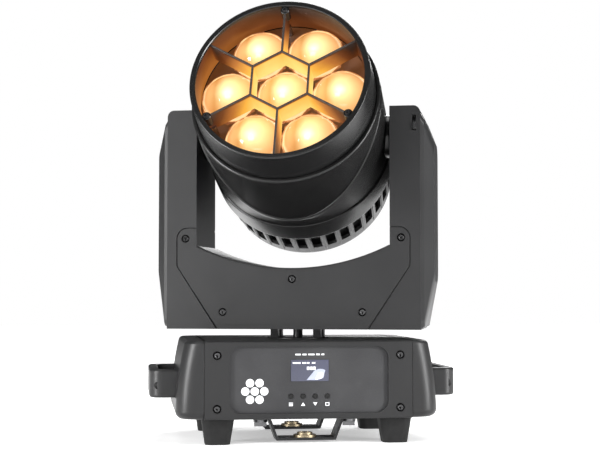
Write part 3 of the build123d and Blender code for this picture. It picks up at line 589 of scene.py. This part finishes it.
SCREW_GROUP = node_group(
    "screw_heads", (("Head Radius", "NodeSocketFloat"), ("Head Height", "NodeSocketFloat")), build_screw
)
RING_GROUP = node_group(
    "ring_of_copies",
    (("Count", "NodeSocketInt"), ("Step", "NodeSocketFloat"), ("Start", "NodeSocketFloat")),
    build_ring,
)


def screws(name, seats, radius, height, body, *nodes, place=BASE, material=None):
    """Screw heads at (point, direction) seats given in millimetres in a frame."""
    mesh = bpy.data.meshes.new(name)
    mesh.from_pydata([place @ (Vector(point) * MM) for point, direction in seats], [], [])
    facing = mesh.attributes.new("facing", "FLOAT_VECTOR", "POINT")
    turn = place.to_3x3()
    for k, (point, direction) in enumerate(seats):
        facing.data[k].vector = turn @ Vector(direction)
    sizes = {"head_radius": radius * MM, "head_height": height * MM}
    item = grown(name, mesh, SCREW_GROUP, finish=MATERIALS["screw_black"], **sizes)
    return fitted(item, body, "screw_black", *nodes, material=material)


def ring_of(name, mesh, count, place, start=0.0):
    """One local shape copied evenly round the Z axis of a frame."""
    spacing = {"count": count, "step": 2 * pi / count, "start": start}
    item = grown(name, mesh, RING_GROUP, finish=MATERIALS["tail_metal"], **spacing)
    item.data.transform(place)
    return item


# ---------------------------------------------------------------- head shells
bezel_low, bezel_high = local_box("front_bezel", HEAD)
barrel_low, barrel_high = local_box("rear_barrel_shell", HEAD)
front_low, front_high = local_box("front_barrel_shell", HEAD)
tail_low, tail_high = local_box("tail_grille", HEAD)
RIM_Z = bezel_high.z
BEZEL_R = bezel_high.x
BEZEL_BACK = bezel_low.z
RIM_R = BEZEL_R - 2
RIM_INNER = BEZEL_R - 8.7
LIP_Z = front_high.z
BARREL_R = barrel_high.y
LIP_R = BARREL_R - 2
BARREL_BACK = barrel_low.z
SEAM_LOW = front_low.z
SEAM_RISE = 78.0
SEAM_GAP = 0.7
WALL = 3.0
TURN = 192
SHELL_SHARP = 28

front_bezel = new_object(
    "front_bezel_ring",
    lathed(
        "front_bezel_ring",
        [
            (RIM_INNER, RIM_Z - 3.5),
            (RIM_INNER, RIM_Z - 1),
            (RIM_INNER + 0.8, RIM_Z),
            *arc((RIM_R - 1.8, RIM_Z - 1.8), 1.8, 90, 0, 5),
            (BEZEL_R - 0.6, LIP_Z + 14),
            (BEZEL_R, LIP_Z + 1.5),
            (BEZEL_R, BEZEL_BACK),
            (BEZEL_R - 3, BEZEL_BACK),
            (BEZEL_R - 5, BEZEL_BACK + 12),
            (BEZEL_R - 5, RIM_Z - 3.5),
        ],
        TURN,
        HEAD,
    ),
)
fitted(front_bezel, "head", "barrel_plastic", "front_bezel", angle=SHELL_SHARP)


def seam_z(angle):
    """The wavy joint between the barrel's two shells, low above and below, high at the axles."""
    return SEAM_LOW + SEAM_RISE * cos(angle) ** 2


def barrel_radius(z):
    """The barrel's outer radius, slightly tapered towards the front."""
    return BARREL_R - 2 * min(1, max(0, (z - SEAM_LOW) / (LIP_Z - SEAM_LOW)))


def front_shell_profile(angle):
    """The front shell's section at an angle: a rounded lip ring, then a wall down to the seam."""
    seam = seam_z(angle)
    edge = barrel_radius(seam) - 1.3
    return [
        (BEZEL_R + 0.4, LIP_Z - 4),
        (BEZEL_R + 0.4, LIP_Z - 0.8),
        (BEZEL_R + 1.2, LIP_Z),
        *arc((LIP_R - 2.2, LIP_Z - 2.2), 2.2, 90, -30, 9),
        (LIP_R - 1.1, LIP_Z - 4.4),
        (barrel_radius(LIP_Z - 6) - 1.3, LIP_Z - 6.5),
        (edge, seam + 1.2),
        (edge - 0.9, seam + 0.2),
        (edge - WALL + 1, seam),
        (LIP_R - WALL, LIP_Z - 4),
    ]


def rear_shell_profile(angle):
    """The rear shell's section at an angle: a proud rounded edge, a narrower waist and a back ring."""
    seam = seam_z(angle) - SEAM_GAP
    edge = barrel_radius(seam) + 0.1
    low = min(seam - 3.5, SEAM_LOW - 6.5)
    waist = BARREL_R - 1.5
    return [
        (edge - WALL - 1, seam),
        (edge - 1.8, seam),
        *arc((edge - 1.8, seam - 1.8), 1.8, 90, 0, 6),
        (edge - 0.2, seam - 4.0) if seam > 8 else (edge - 0.3, seam - 2.4),
        (waist, low),
        (waist, -13.5),
        (waist + 0.2, -15.0),
        *arc((BARREL_R - 1.4, -16.6), 1.4, 90, 0, 5),
        (BARREL_R - 0.3, BARREL_BACK + 4),
        *[(BARREL_R - 2.8 + x, BARREL_BACK + 2.5 + z) for x, z in arc((0, 0), 2.5, 0, -90, 5)],
        (BARREL_R - 6, BARREL_BACK),
        (BARREL_R - 5.2, BARREL_BACK + 6),
    ]


front_shell = new_object("front_shell", lathed("front_shell", front_shell_profile, TURN, HEAD))
fitted(front_shell, "head", "barrel_plastic", "front_barrel_shell", angle=SHELL_SHARP)

AXLE_HOLE_R = 10.3
AXLE_BOSS_INNER = 10.4
AXLE_BOSS_OUTER = 26.5
AXLE_BOSS_FOOT = 100
AXLE_BOSS_FACE = 113
rear_shell = new_object("rear_shell", lathed("rear_shell", rear_shell_profile, TURN, HEAD))
holes = [cylinder("axle_hole", AXLE_HOLE_R, (side * 90, 0, 0), (side * 130, 0, 0), HEAD) for side in (-1, 1)]
carved(rear_shell, holes)
fitted(rear_shell, "head", "barrel_plastic", "rear_barrel_shell", angle=SHELL_SHARP)

for side, side_name in ((-1, "left"), (1, "right")):
    boss = lathed(
        f"{side_name}_axle_boss",
        [
            (AXLE_BOSS_INNER, AXLE_BOSS_FOOT),
            (AXLE_BOSS_INNER, AXLE_BOSS_FACE),
            (24, AXLE_BOSS_FACE),
            *arc((24, AXLE_BOSS_FACE - 1.5), 1.5, 90, 0, 4),
            (AXLE_BOSS_OUTER, AXLE_BOSS_FOOT),
        ],
        72,
        HEAD @ Matrix.Rotation(side * pi / 2, 4, "Y"),
    )
    fitted(new_object(f"{side_name}_axle_boss", boss), "head", "barrel_plastic")

# ---------------------------------------------------------------- tail grille
TAIL_BACK = tail_low.z
TAIL_R = tail_high.y
TAIL_END = TAIL_R - 4
TAIL_CORNER = 11
TAIL_COUNT = 36
WINDOW_WIDTH = 11.6
WINDOW_HEIGHT = 37
INTAKE_WIDTH = 6
tail = new_object(
    "tail_housing",
    lathed(
        "tail_housing",
        [
            (0, TAIL_BACK),
            (TAIL_END - TAIL_CORNER, TAIL_BACK),
            *arc((TAIL_END - TAIL_CORNER, TAIL_BACK + TAIL_CORNER), TAIL_CORNER, -90, 0, 8)[1:],
            (TAIL_R - 2.0, TAIL_BACK + 34),
            (TAIL_R - 0.8, BARREL_BACK - 2.5),
            (TAIL_R - 1.6, BARREL_BACK - 1),
            (TAIL_R - 1.6, BARREL_BACK + 3),
            (TAIL_R - 5, BARREL_BACK + 3),
            (TAIL_END - 4, TAIL_BACK + 12),
            (TAIL_END - 10, TAIL_BACK + 4),
            (0, TAIL_BACK + 4),
        ],
        144,
    ),
)
window_outline = rounded(WINDOW_WIDTH, WINDOW_HEIGHT, 1.2, 3, (0, BARREL_BACK - 21.7))
window = skinned("tail_window", [[(x, y, z) for y, z in window_outline] for x in (TAIL_END - 12, TAIL_R + 6)])


def intake(name, length, reach):
    """A cutter for one round-ended slot in the tail's back, lying along X at a distance from the axis."""
    outline = rounded(length, INTAKE_WIDTH, 2.9, 4, (reach, 0))
    return skinned(name, [[(x, y, z) for x, y in outline] for z in (TAIL_BACK - 6, TAIL_BACK + 12)])


carved(
    tail,
    [
        ring_of("tail_windows", window, TAIL_COUNT, BASE),
        ring_of("tail_intakes", intake("tail_intake", 30, 70), 24, BASE),
        ring_of("tail_inner_intakes", intake("tail_inner_intake", 20, 38), 12, BASE, pi / 12),
    ],
)
tail.data.transform(HEAD)
fitted(tail, "head", "tail_metal", "tail_grille")

# A near-black sleeve inside the tail, behind its windows: painted shade standing in for the dark inside of the
# housing.
shade_liner_profile = [
    (TAIL_R - 11, BARREL_BACK - 1),
    (TAIL_R - 9.5, BARREL_BACK - 1),
    (TAIL_R - 9.5, TAIL_BACK + 7),
    (TAIL_R - 11, TAIL_BACK + 7),
]
shade_liner = new_object("tail_duct", lathed("tail_duct", shade_liner_profile, 96, HEAD))
fitted(shade_liner, "head", "tail_metal", material="inner_dark")

RIB_SIDES = (-1.9, -1.3, 1.3, 1.9)
RIB_FLAT = 1.5
RIB_CHAMFER = 0.6
rib_profile = [
    (TAIL_R - 2.4, BARREL_BACK - 1.5),
    (TAIL_R + 0.4, BARREL_BACK - 4),
    (TAIL_END + 1.2, TAIL_BACK + 15),
    (TAIL_END + 0.2, TAIL_BACK + 10.5),
    (TAIL_END - 2, TAIL_BACK + 10),
    (TAIL_END - 2, TAIL_BACK + 40),
]
rib = skinned("tail_rib", [[(r, y, z) for r, z in rib_profile] for y in RIB_SIDES])
for vertex in rib.vertices:
    if abs(vertex.co.y) > RIB_FLAT * MM:
        vertex.co.x -= RIB_CHAMFER * MM
ribs = ring_of("tail_ribs", rib, TAIL_COUNT, HEAD, pi / TAIL_COUNT)
fitted(ribs, "head", "tail_metal")

# ---------------------------------------------------------------- baffle and lenses
baffle_low, baffle_high = local_box("hex_baffle", HEAD)
lens_low, lens_high = local_box("lenses", HEAD)
BAFFLE_FRONT = baffle_high.z
BAFFLE_BACK = baffle_low.z
RING_WALL = 2.8
RING_INNER = baffle_high.y - RING_WALL
CELL_BACK = BAFFLE_BACK + 2.6
CELL_WALL = 2.2
HEX_R = 37.1
LENS_PITCH = 64.2
LENS_R = 31.0
LENS_RIM_R = LENS_R + 2.2
LENS_STEM = 21.6
LENS_STEM_R = 25.4
LENS_SEAT = lens_low.z + LENS_STEM
LENS_APEX = lens_high.z + 4
LENS_FLANGE = ((34.2, -0.2), (34.8, 0.2), (34.8, 0.8), (34.2, 1.1))
LENS_CORE = 0.45
LENS_PLACES = [(0.0, 0.0)] + [(LENS_PITCH * cos(pi * k / 3), LENS_PITCH * sin(pi * k / 3)) for k in range(6)]
BOSS_ANGLES = (90, 210, 330)
BOSS_RING = 91.3
BOSS_R = 5.0
BOSS_LENGTH = 14


def cell_wall(start, end):
    """An upright wall with a rounded front lip, from one point to another."""
    start, end = Vector(start), Vector(end)
    across = (end - start).normalized().orthogonal() * CELL_WALL / 2
    depths = [CELL_BACK + (BAFFLE_FRONT - 0.6 - CELL_BACK) * k / 7 for k in range(8)]
    loops = []
    for step in range(9):
        middle = start.lerp(end, step / 8)
        left, right = middle + across, middle - across
        loop = [(left.x, left.y, z) for z in depths]
        loop.append((*middle.lerp(left, 0.5), BAFFLE_FRONT))
        loop.append((*middle.lerp(right, 0.5), BAFFLE_FRONT))
        loop += [(right.x, right.y, z) for z in reversed(depths)]
        loops.append(loop)
    return skinned("cell_wall", loops, HEAD)


def paint_lens_light_on(mesh):
    """Writes the painted light level of each point of the baffle, from its depth and its distance from the axis.
    """
    back = HEAD.inverted()
    glow = mesh.attributes.new("glow", "FLOAT", "POINT")
    for vertex in mesh.vertices:
        x, y, z = (back @ vertex.co) / MM
        depth = min(1.0, 1 - (z - CELL_BACK) / (BAFFLE_FRONT - CELL_BACK))
        out = sqrt(x * x + y * y)
        painted_light_amount = 0.82 - 0.0135 * max(0.0, out - 30) + 0.2 * depth
        # painted light on the outer ring: lighter towards -X, a little darker towards +Y
        if out > RING_INNER - 2:
            painted_light_amount = 0.1 + 0.2 * depth + 0.16 * max(0.0, -x / RING_INNER) - 0.04 * y / RING_INNER
        # painted shade: the front lips are kept dark
        if z > BAFFLE_FRONT - 1:
            painted_light_amount = 0.03
        glow.data[vertex.index].value = max(0.0, min(1.0, painted_light_amount))
    return mesh


def joined(name, meshes):
    """One mesh from several."""
    shape = bmesh.new()
    for mesh in meshes:
        shape.from_mesh(mesh)
        bpy.data.meshes.remove(mesh)
    mesh = bpy.data.meshes.new(name)
    shape.to_mesh(mesh)
    shape.free()
    return mesh


corners = [(HEX_R * cos(radians(90 + 60 * k)), HEX_R * sin(radians(90 + 60 * k))) for k in range(6)]
spoke_reach = (RING_INNER + 0.8) / HEX_R
walls = []
for k, corner in enumerate(corners):
    walls.append(cell_wall(corner, corners[(k + 1) % 6]))
    walls.append(cell_wall(corner, (corner[0] * spoke_reach, corner[1] * spoke_reach)))
ring_rows = [CELL_BACK + (BAFFLE_FRONT - CELL_BACK) * k / 8 for k in range(9)]
ring_profile = [(RING_INNER, z) for z in ring_rows]
ring_profile += [(RING_INNER + RING_WALL, BAFFLE_FRONT), (RING_INNER + RING_WALL, BAFFLE_BACK)]
walls.append(lathed("baffle_ring", ring_profile, 144, HEAD))
LINER_INNER = 98.6
LINER_OUTER = 98.9
liner = [(LINER_INNER, BAFFLE_BACK - 12), (LINER_OUTER, BAFFLE_BACK - 12)]
liner += [(LINER_OUTER, BAFFLE_BACK + 1), (LINER_INNER, BAFFLE_BACK + 1)]
walls.append(lathed("baffle_liner", liner, 144, HEAD))
baffle = new_object("baffle_cells", paint_lens_light_on(joined("baffle_cells", walls)))
fitted(baffle, "head", "baffle_copper", "hex_baffle", angle=40)

boss_places = [(BOSS_RING * cos(radians(angle)), BOSS_RING * sin(radians(angle))) for angle in BOSS_ANGLES]
boss_profile = [
    (0, BAFFLE_FRONT - BOSS_LENGTH),
    (BOSS_R, BAFFLE_FRONT - BOSS_LENGTH),
    (BOSS_R, BAFFLE_FRONT + 0.4),
    (BOSS_R - 0.6, BAFFLE_FRONT + 1),
    (0, BAFFLE_FRONT + 1),
]
bosses = []
for x, y in boss_places:
    bosses.append(lathed("boss", boss_profile, 32, HEAD @ Matrix.Translation(Vector((x, y, 0)) * MM)))
fitted(new_object("baffle_bosses", joined("baffle_bosses", bosses)), "head", "barrel_plastic")
seats = [((x, y, BAFFLE_FRONT), (0, 0, 1)) for x, y in boss_places]
BEZEL_SCREW = (3.6, 2.6)
look = "socket_plastic"
screws("bezel_screw_heads", seats, *BEZEL_SCREW, "head", "bezel_screws", place=HEAD, material=look)


def lens_mesh(x, y):
    """A dome on a hexagonal flange, with distances from the lens axis stored for the glow."""
    rise = LENS_APEX - LENS_SEAT - 2
    ball = (LENS_R**2 + rise**2) / (2 * rise)
    edge = degrees(acos((ball - rise) / ball))
    turns = [radians(edge * k / 14) for k in range(15)]
    dome = [(ball * sin(turn), LENS_APEX - ball + ball * cos(turn)) for turn in turns]
    dome[0] = (0, LENS_APEX)
    profile = [
        *dome,
        (LENS_R + 0.2, LENS_SEAT + 0.6),
        (LENS_R + 1.4, LENS_SEAT + 2.2),
        (LENS_RIM_R, LENS_SEAT + 0.4),
        (LENS_RIM_R, LENS_SEAT - 0.4),
        (LENS_STEM_R, LENS_SEAT - 2.8),
        (LENS_STEM_R, LENS_SEAT - 9),
        (9, LENS_SEAT - LENS_STEM),
        (0, LENS_SEAT - LENS_STEM),
    ]
    around = HEAD @ Matrix.Translation(Vector((x, y, 0)) * MM)
    body = lathed("lens", profile, 64, around)
    flange_loops = [
        [(r * cos(radians(30 + 60 * k)), r * sin(radians(30 + 60 * k)), LENS_SEAT + lift) for k in range(6)]
        for r, lift in LENS_FLANGE
    ]
    flange = skinned("lens_flange", flange_loops, around)
    mesh = joined("lens", [body, flange])
    back = around.inverted()
    reach = mesh.attributes.new("reach", "FLOAT", "POINT")
    across = mesh.attributes.new("across", "FLOAT", "POINT")
    for vertex in mesh.vertices:
        point = (back @ vertex.co) / MM
        far = min(1.0, sqrt(point.x**2 + point.y**2) / LENS_RIM_R)
        spot = min(1.0, sqrt(point.x**2 + (point.y + 3) ** 2) / LENS_R)
        if far <= LENS_CORE:
            far = far * far / LENS_CORE + spot * (LENS_CORE - far) / LENS_CORE
        reach.data[vertex.index].value = far
        across.data[vertex.index].value = 0.5 + 0.5 * point.x / LENS_R
    return mesh


carriage = refined("lens_carriage", 0.3, 40)
fitted(carriage, "lens_carriage", "carriage_plastic", "lens_carriage", material="carriage_glow")

for k, (x, y) in enumerate(LENS_PLACES):
    lens = new_object(f"lens_{k}", lens_mesh(x, y))
    fitted(lens, "lens_carriage", "lens_amber", *(("lenses",) if k == 0 else ()), angle=25)


# ---------------------------------------------------------------- CAD pieces with rounded edges
SUBPARTS = {part["node"]: part for part in frame["record"]["subparts"]}
BODY_OF = {node: body for body, nodes in frame["record"]["behaviour"]["bodies"].items() for node in nodes}
SHARP = 40
SHELL_FACETS = 9
EDGE_WIDTHS = {
    "yoke_crossbar": 1.2,
    "left_arm_frame": 1.8,
    "right_arm_frame": 1.8,
    "front_cover": 0.7,
    "back_cover": 0.7,
    "left_arm_shell": 2.5,
    "right_arm_shell": 2.5,
    "tilt_lock": 0.5,
    "pan_hub": 0.4,
    "base_front_frame": 0.9,
    "base_top_cover": 0.8,
    "base_back_panel": 0.5,
    "base_chassis": 0.4,
    "control_panel": 0.3,
    "left_handle": 1.4,
    "right_handle": 1.4,
    "front_omega_bracket": 0.5,
    "rear_omega_bracket": 0.5,
    "power_fittings": 0.4,
    "data_sockets": 0.35,
    "tilt_bearings": 0.4,
    "heatsink": 0.2,
}
for node in SUBPARTS:
    if node.endswith("quarter_turn"):
        EDGE_WIDTHS[node] = 0.4
for node, width in EDGE_WIDTHS.items():
    look = "chassis_steel" if node == "pan_hub" else None
    copy = refined(node, width, SHELL_FACETS if node.endswith("arm_shell") else SHARP)
    fitted(copy, BODY_OF[node], SUBPARTS[node]["material_slot"], node, material=look)

# ---------------------------------------------------------------- screws of the covers and of the base
COVER_FRONT = local_box("front_cover", YOKE)[0].y
COVER_BACK = local_box("back_cover", YOKE)[1].y
COVER_SEATS = ((0, 185.5), (127.6, 233.3), (-127.6, 233.3), (82.5, 147), (-82.5, 147))
SCREW = (4.4, 2.1)
SCREW_DEPTH = 0.95
seats = [((x, COVER_FRONT + SCREW_DEPTH, z), (0, -1, 0)) for x, z in COVER_SEATS]
seats += [((x, COVER_BACK - SCREW_DEPTH, z), (0, 1, 0)) for x, z in COVER_SEATS]
screws("cover_screw_heads", seats, *SCREW, "yoke", "cover_screws", place=YOKE)

BASE_FRONT = local_box("base_front_frame")[0].y
BASE_BACK = local_box("base_back_panel")[1].y
BASE_SCREW_X = 103.1
seats = []
for x in (-BASE_SCREW_X, BASE_SCREW_X):
    for z in (41, 100):
        seats.append(((x, BASE_FRONT + SCREW_DEPTH, z), (0, -1, 0)))
        seats.append(((x, BASE_BACK - SCREW_DEPTH, z), (0, 1, 0)))
screws("base_screw_heads", seats, *SCREW, "base", "base_screws")


# ---------------------------------------------------------------- end caps
cap_low, cap_high = local_box("right_end_cap")
CAP_OUT = cap_high.x
CAP_TOP = cap_high.z
CAP_BOTTOM = cap_low.z
CAP_DEPTH = cap_high.y
CAP_INNER = cap_low.x
CAP_SHAPE = ((CAP_BOTTOM, CAP_OUT), (86, 144), (CAP_TOP, 138))
CAP_CORNER = 20.0
CAP_FOOT_R = 9
CAP_HEAD_R = 4
SEAM_WIDTH = 0.6


def cap_outer(z):
    """The cap's outer X at a height, on a smooth curve through its three sections."""
    reach = 0.0
    for height, x in CAP_SHAPE:
        share = x
        for other in (section[0] for section in CAP_SHAPE):
            if other != height:
                share *= (z - other) / (height - other)
        reach += share
    return reach


def cap_loop(side, z, inset):
    """The cap's outline at a height, round outside, with a seam groove along its inner side."""
    out = min(cap_outer(z), CAP_OUT) - inset
    depth = CAP_DEPTH - inset
    radius = CAP_CORNER - inset * 0.4
    groove = depth - 1.5
    seam = CAP_INNER + SEAM_WIDTH
    lip = CAP_INNER + 1.0
    outline = [(CAP_INNER, -groove), (seam, -groove), (seam, 0.35 - depth), (lip, -depth)]
    outline += arc((out - radius, radius - depth), radius, -90, 0, 12)
    outline += arc((out - radius, depth - radius), radius, 0, 90, 12)
    outline += [(lip, depth), (seam, depth - 0.35), (seam, groove), (CAP_INNER, groove)]
    return [(side * x, y, z) for x, y in outline]


for side, side_name in ((-1, "left"), (1, "right")):
    loops = []
    for turn in range(0, 91, 15):
        lift, inset = 1 - cos(radians(turn)), 1 - sin(radians(turn))
        loops.append(cap_loop(side, CAP_BOTTOM + CAP_FOOT_R * lift, CAP_FOOT_R * inset))
    for k in range(1, 9):
        low, high = CAP_BOTTOM + CAP_FOOT_R, CAP_TOP - CAP_HEAD_R
        loops.append(cap_loop(side, low + (high - low) * k / 8, 0))
    for turn in range(15, 91, 15):
        lift, inset = sin(radians(turn)), 1 - cos(radians(turn))
        loops.append(cap_loop(side, CAP_TOP - CAP_HEAD_R + CAP_HEAD_R * lift, CAP_HEAD_R * inset))
    cap_name = f"{side_name}_end_cap_shell"
    cap = new_object(cap_name, skinned(cap_name, loops))
    fitted(cap, "base", "housing_plastic", f"{side_name}_end_cap", angle=50)

# ---------------------------------------------------------------- panel markings
PANEL_FRONT = local_box("control_panel")[0].y
SCREEN_FRONT = local_box("display_window")[0].y


def printed(name, outlines, front, body, slot, material):
    """Flat marks that stand a fraction of a millimetre off a face."""
    sheets = []
    for outline in outlines:
        sheets.append(skinned(name, [upright(outline, front - 0.12), upright(outline, front + 0.1)]))
    return fitted(new_object(name, joined(name, sheets)), body, slot, material=material)


def disc(x, z, radius):
    """A round outline."""
    steps = 28
    return arc((x, z), radius, 0, 360 - 360 / steps, steps - 1)


def bar(left, right, low, high):
    """A rectangular outline."""
    return [(left, low), (right, low), (right, high), (left, high)]


LOGO = (-61.0, 60.0)
LOGO_PITCH = 10.6
LOGO_DISC = 4.6
PANEL_DASHES = ((-15.5, -9.5), (-7.5, -3), (-1, 6), (8, 12), (14, 17))
MENU_LINES = (43.4, 44.9, 46.4)
UP_ARROW = [(-9.2, 43.6), (-4.4, 43.6), (-6.8, 47.2)]
DOWN_ARROW = [(4.5, 47.2), (6.9, 43.6), (9.3, 47.2)]
ENTER_BOX = (
    (18.4, 22.8, 43.4, 44.1),
    (18.4, 22.8, 46.4, 47.1),
    (18.4, 19.1, 44.1, 46.4),
    (22.1, 22.8, 44.1, 46.4),
)
marks = [disc(*LOGO, LOGO_DISC)]
marks += [disc(LOGO[0] + x, LOGO[1] + z, LOGO_DISC) for x, z in arc((0, 0), LOGO_PITCH, 0, 300, 5)]
marks += [bar(left, right, 99.8, 101.4) for left, right in PANEL_DASHES]
marks += [bar(-22.8, -18.2, low, low + 0.7) for low in MENU_LINES]
marks += [UP_ARROW, DOWN_ARROW]
marks += [bar(*edges) for edges in ENTER_BOX]
printed("panel_marks", marks, PANEL_FRONT, "base", "panel_face", "print_white")

SCREEN_DASHES = (5, 3.4, 4.4, 2.6, 3.8)
SCREEN_DIGITS = ((-2.5, 0.2), (1.0, 3.7), (4.5, 7.2))
rows = []
for k, width in enumerate(SCREEN_DASHES):
    left = -18.5 + 5.4 * k
    rows.append(bar(left, left + width, 90.4, 92.0))
rows += [bar(left, right, 83.4, 87.0) for left, right in SCREEN_DIGITS]
printed("screen_rows", rows, SCREEN_FRONT, "base", "display_glass", "print_screen_pale")
beam = [(-3.0, 72.2), (3.0, 79.0), *arc((12.5, 72.5), 12.0, 125, 62, 8), (16.0, 74.5), (9.0, 72.2)]
core = [(6.5, 72.4), (9.0, 77.8), *arc((13.5, 72.5), 8.0, 110, 70, 5), (14.2, 74.0)]
printed("screen_beam", [beam], SCREEN_FRONT, "base", "display_glass", "print_screen")
printed("screen_beam_core", [core], SCREEN_FRONT - 0.1, "base", "display_glass", "print_screen_pale")


# ---------------------------------------------------------------- floor, light and camera
def pale_floor(nodes):
    """Matt white paper with a very faint mottle and a painted glow, dimmer near the middle and rising to white
    towards its far edges.
    """
    mottle = nodes.noise(3.0, 3.0)
    across = nodes.add("ShaderNodeSeparateXYZ", None, {0: nodes.place()}, "X")
    along = nodes.add("ShaderNodeSeparateXYZ", None, {0: nodes.place()}, "Y")
    away = across.math("ABSOLUTE").math("MAXIMUM", along.math("ABSOLUTE"))
    return {
        "Base Color": nodes.mix(mottle, colour(0.86), colour(0.9)),
        "Roughness": mottle * 0.1 + 0.6,
        # painted light: emission from 0.42 near the middle up to white far out
        "Emission Color": (away * 0.8).ramp((0.12, (0.42, 0.42, 0.42)), (0.65, (1.0, 1.0, 1.0))),
        "Emission Strength": 1.0,
        "Normal": nodes.bump(nodes.noise(500.0, 2.0), 0.00002, 0.2),
    }


FLOOR_HALF = 5.0
SKY_SEEN = 1.0
SKY_LIGHT = 0.1
floor_mesh = bpy.data.meshes.new("floor")
floor_corners = [(-FLOOR_HALF, -FLOOR_HALF, 0), (FLOOR_HALF, -FLOOR_HALF, 0), (FLOOR_HALF, FLOOR_HALF, 0)]
floor_mesh.from_pydata([*floor_corners, (-FLOOR_HALF, FLOOR_HALF, 0)], [], [(0, 1, 2, 3)])
floor = new_object("floor", floor_mesh)
floor.data.materials.append(finish("floor_paper", pale_floor))

world = bpy.data.worlds.new("studio")
world.use_nodes = True
sky = Nodes(world.node_tree)
seen = sky.add("ShaderNodeLightPath", output="Is Camera Ray")
strength = seen * (SKY_SEEN - SKY_LIGHT) + SKY_LIGHT
backdrop = sky.add("ShaderNodeBackground", None, {"Color": colour(1.0), "Strength": strength})
sky.add("ShaderNodeOutputWorld", None, {"Surface": backdrop})
scene.world = world


def softbox(name, place, aim, width, height, power):
    """A rectangular area light."""
    lamp = bpy.data.lights.new(name, "AREA")
    lamp.shape = "RECTANGLE"
    lamp.size = width
    lamp.size_y = height
    lamp.energy = power
    item = bpy.data.objects.new(name, lamp)
    item.location = place
    item.rotation_euler = (Vector(aim) - Vector(place)).to_track_quat("-Z", "Y").to_euler()
    scene.collection.objects.link(item)


MIDDLE = (0.0, 0.0, 0.25)
LAMPS = (
    ("key_light", (-0.9, -1.7, 1.35), MIDDLE, 0.7, 0.5, 8.0),
    ("right_light", (1.35, -1.0, 0.4), MIDDLE, 0.32, 1.2, 50.0),
    ("left_light", (-1.45, -0.8, 0.4), MIDDLE, 0.32, 1.2, 50.0),
    ("top_light", (0.1, 0.3, 1.9), MIDDLE, 1.6, 1.0, 18.0),
    ("back_light", (0.6, 1.5, 1.2), MIDDLE, 0.8, 0.8, 20.0),
    ("low_light", (-0.3, -1.9, 0.12), (0.0, 0.0, 0.3), 1.5, 0.12, 2.0),
)
for lamp in LAMPS:
    softbox(*lamp)

CAMERA_PLACE = Vector((-0.1989, -1.5784, 0.1711))
CAMERA_AIM = Vector((0.00252, 0.0, 0.25125))
camera_data = bpy.data.cameras.new("camera")
camera_data.sensor_width = 36.0
camera_data.lens = 79.66
camera_data.clip_start = 0.05
camera_data.clip_end = 30.0
camera = bpy.data.objects.new("camera", camera_data)
camera.location = CAMERA_PLACE
camera.rotation_euler = (CAMERA_AIM - CAMERA_PLACE).to_track_quat("-Z", "Y").to_euler()
scene.collection.objects.link(camera)
scene.camera = camera
scene.view_settings.view_transform = "Standard"
scene.view_settings.look = "None"
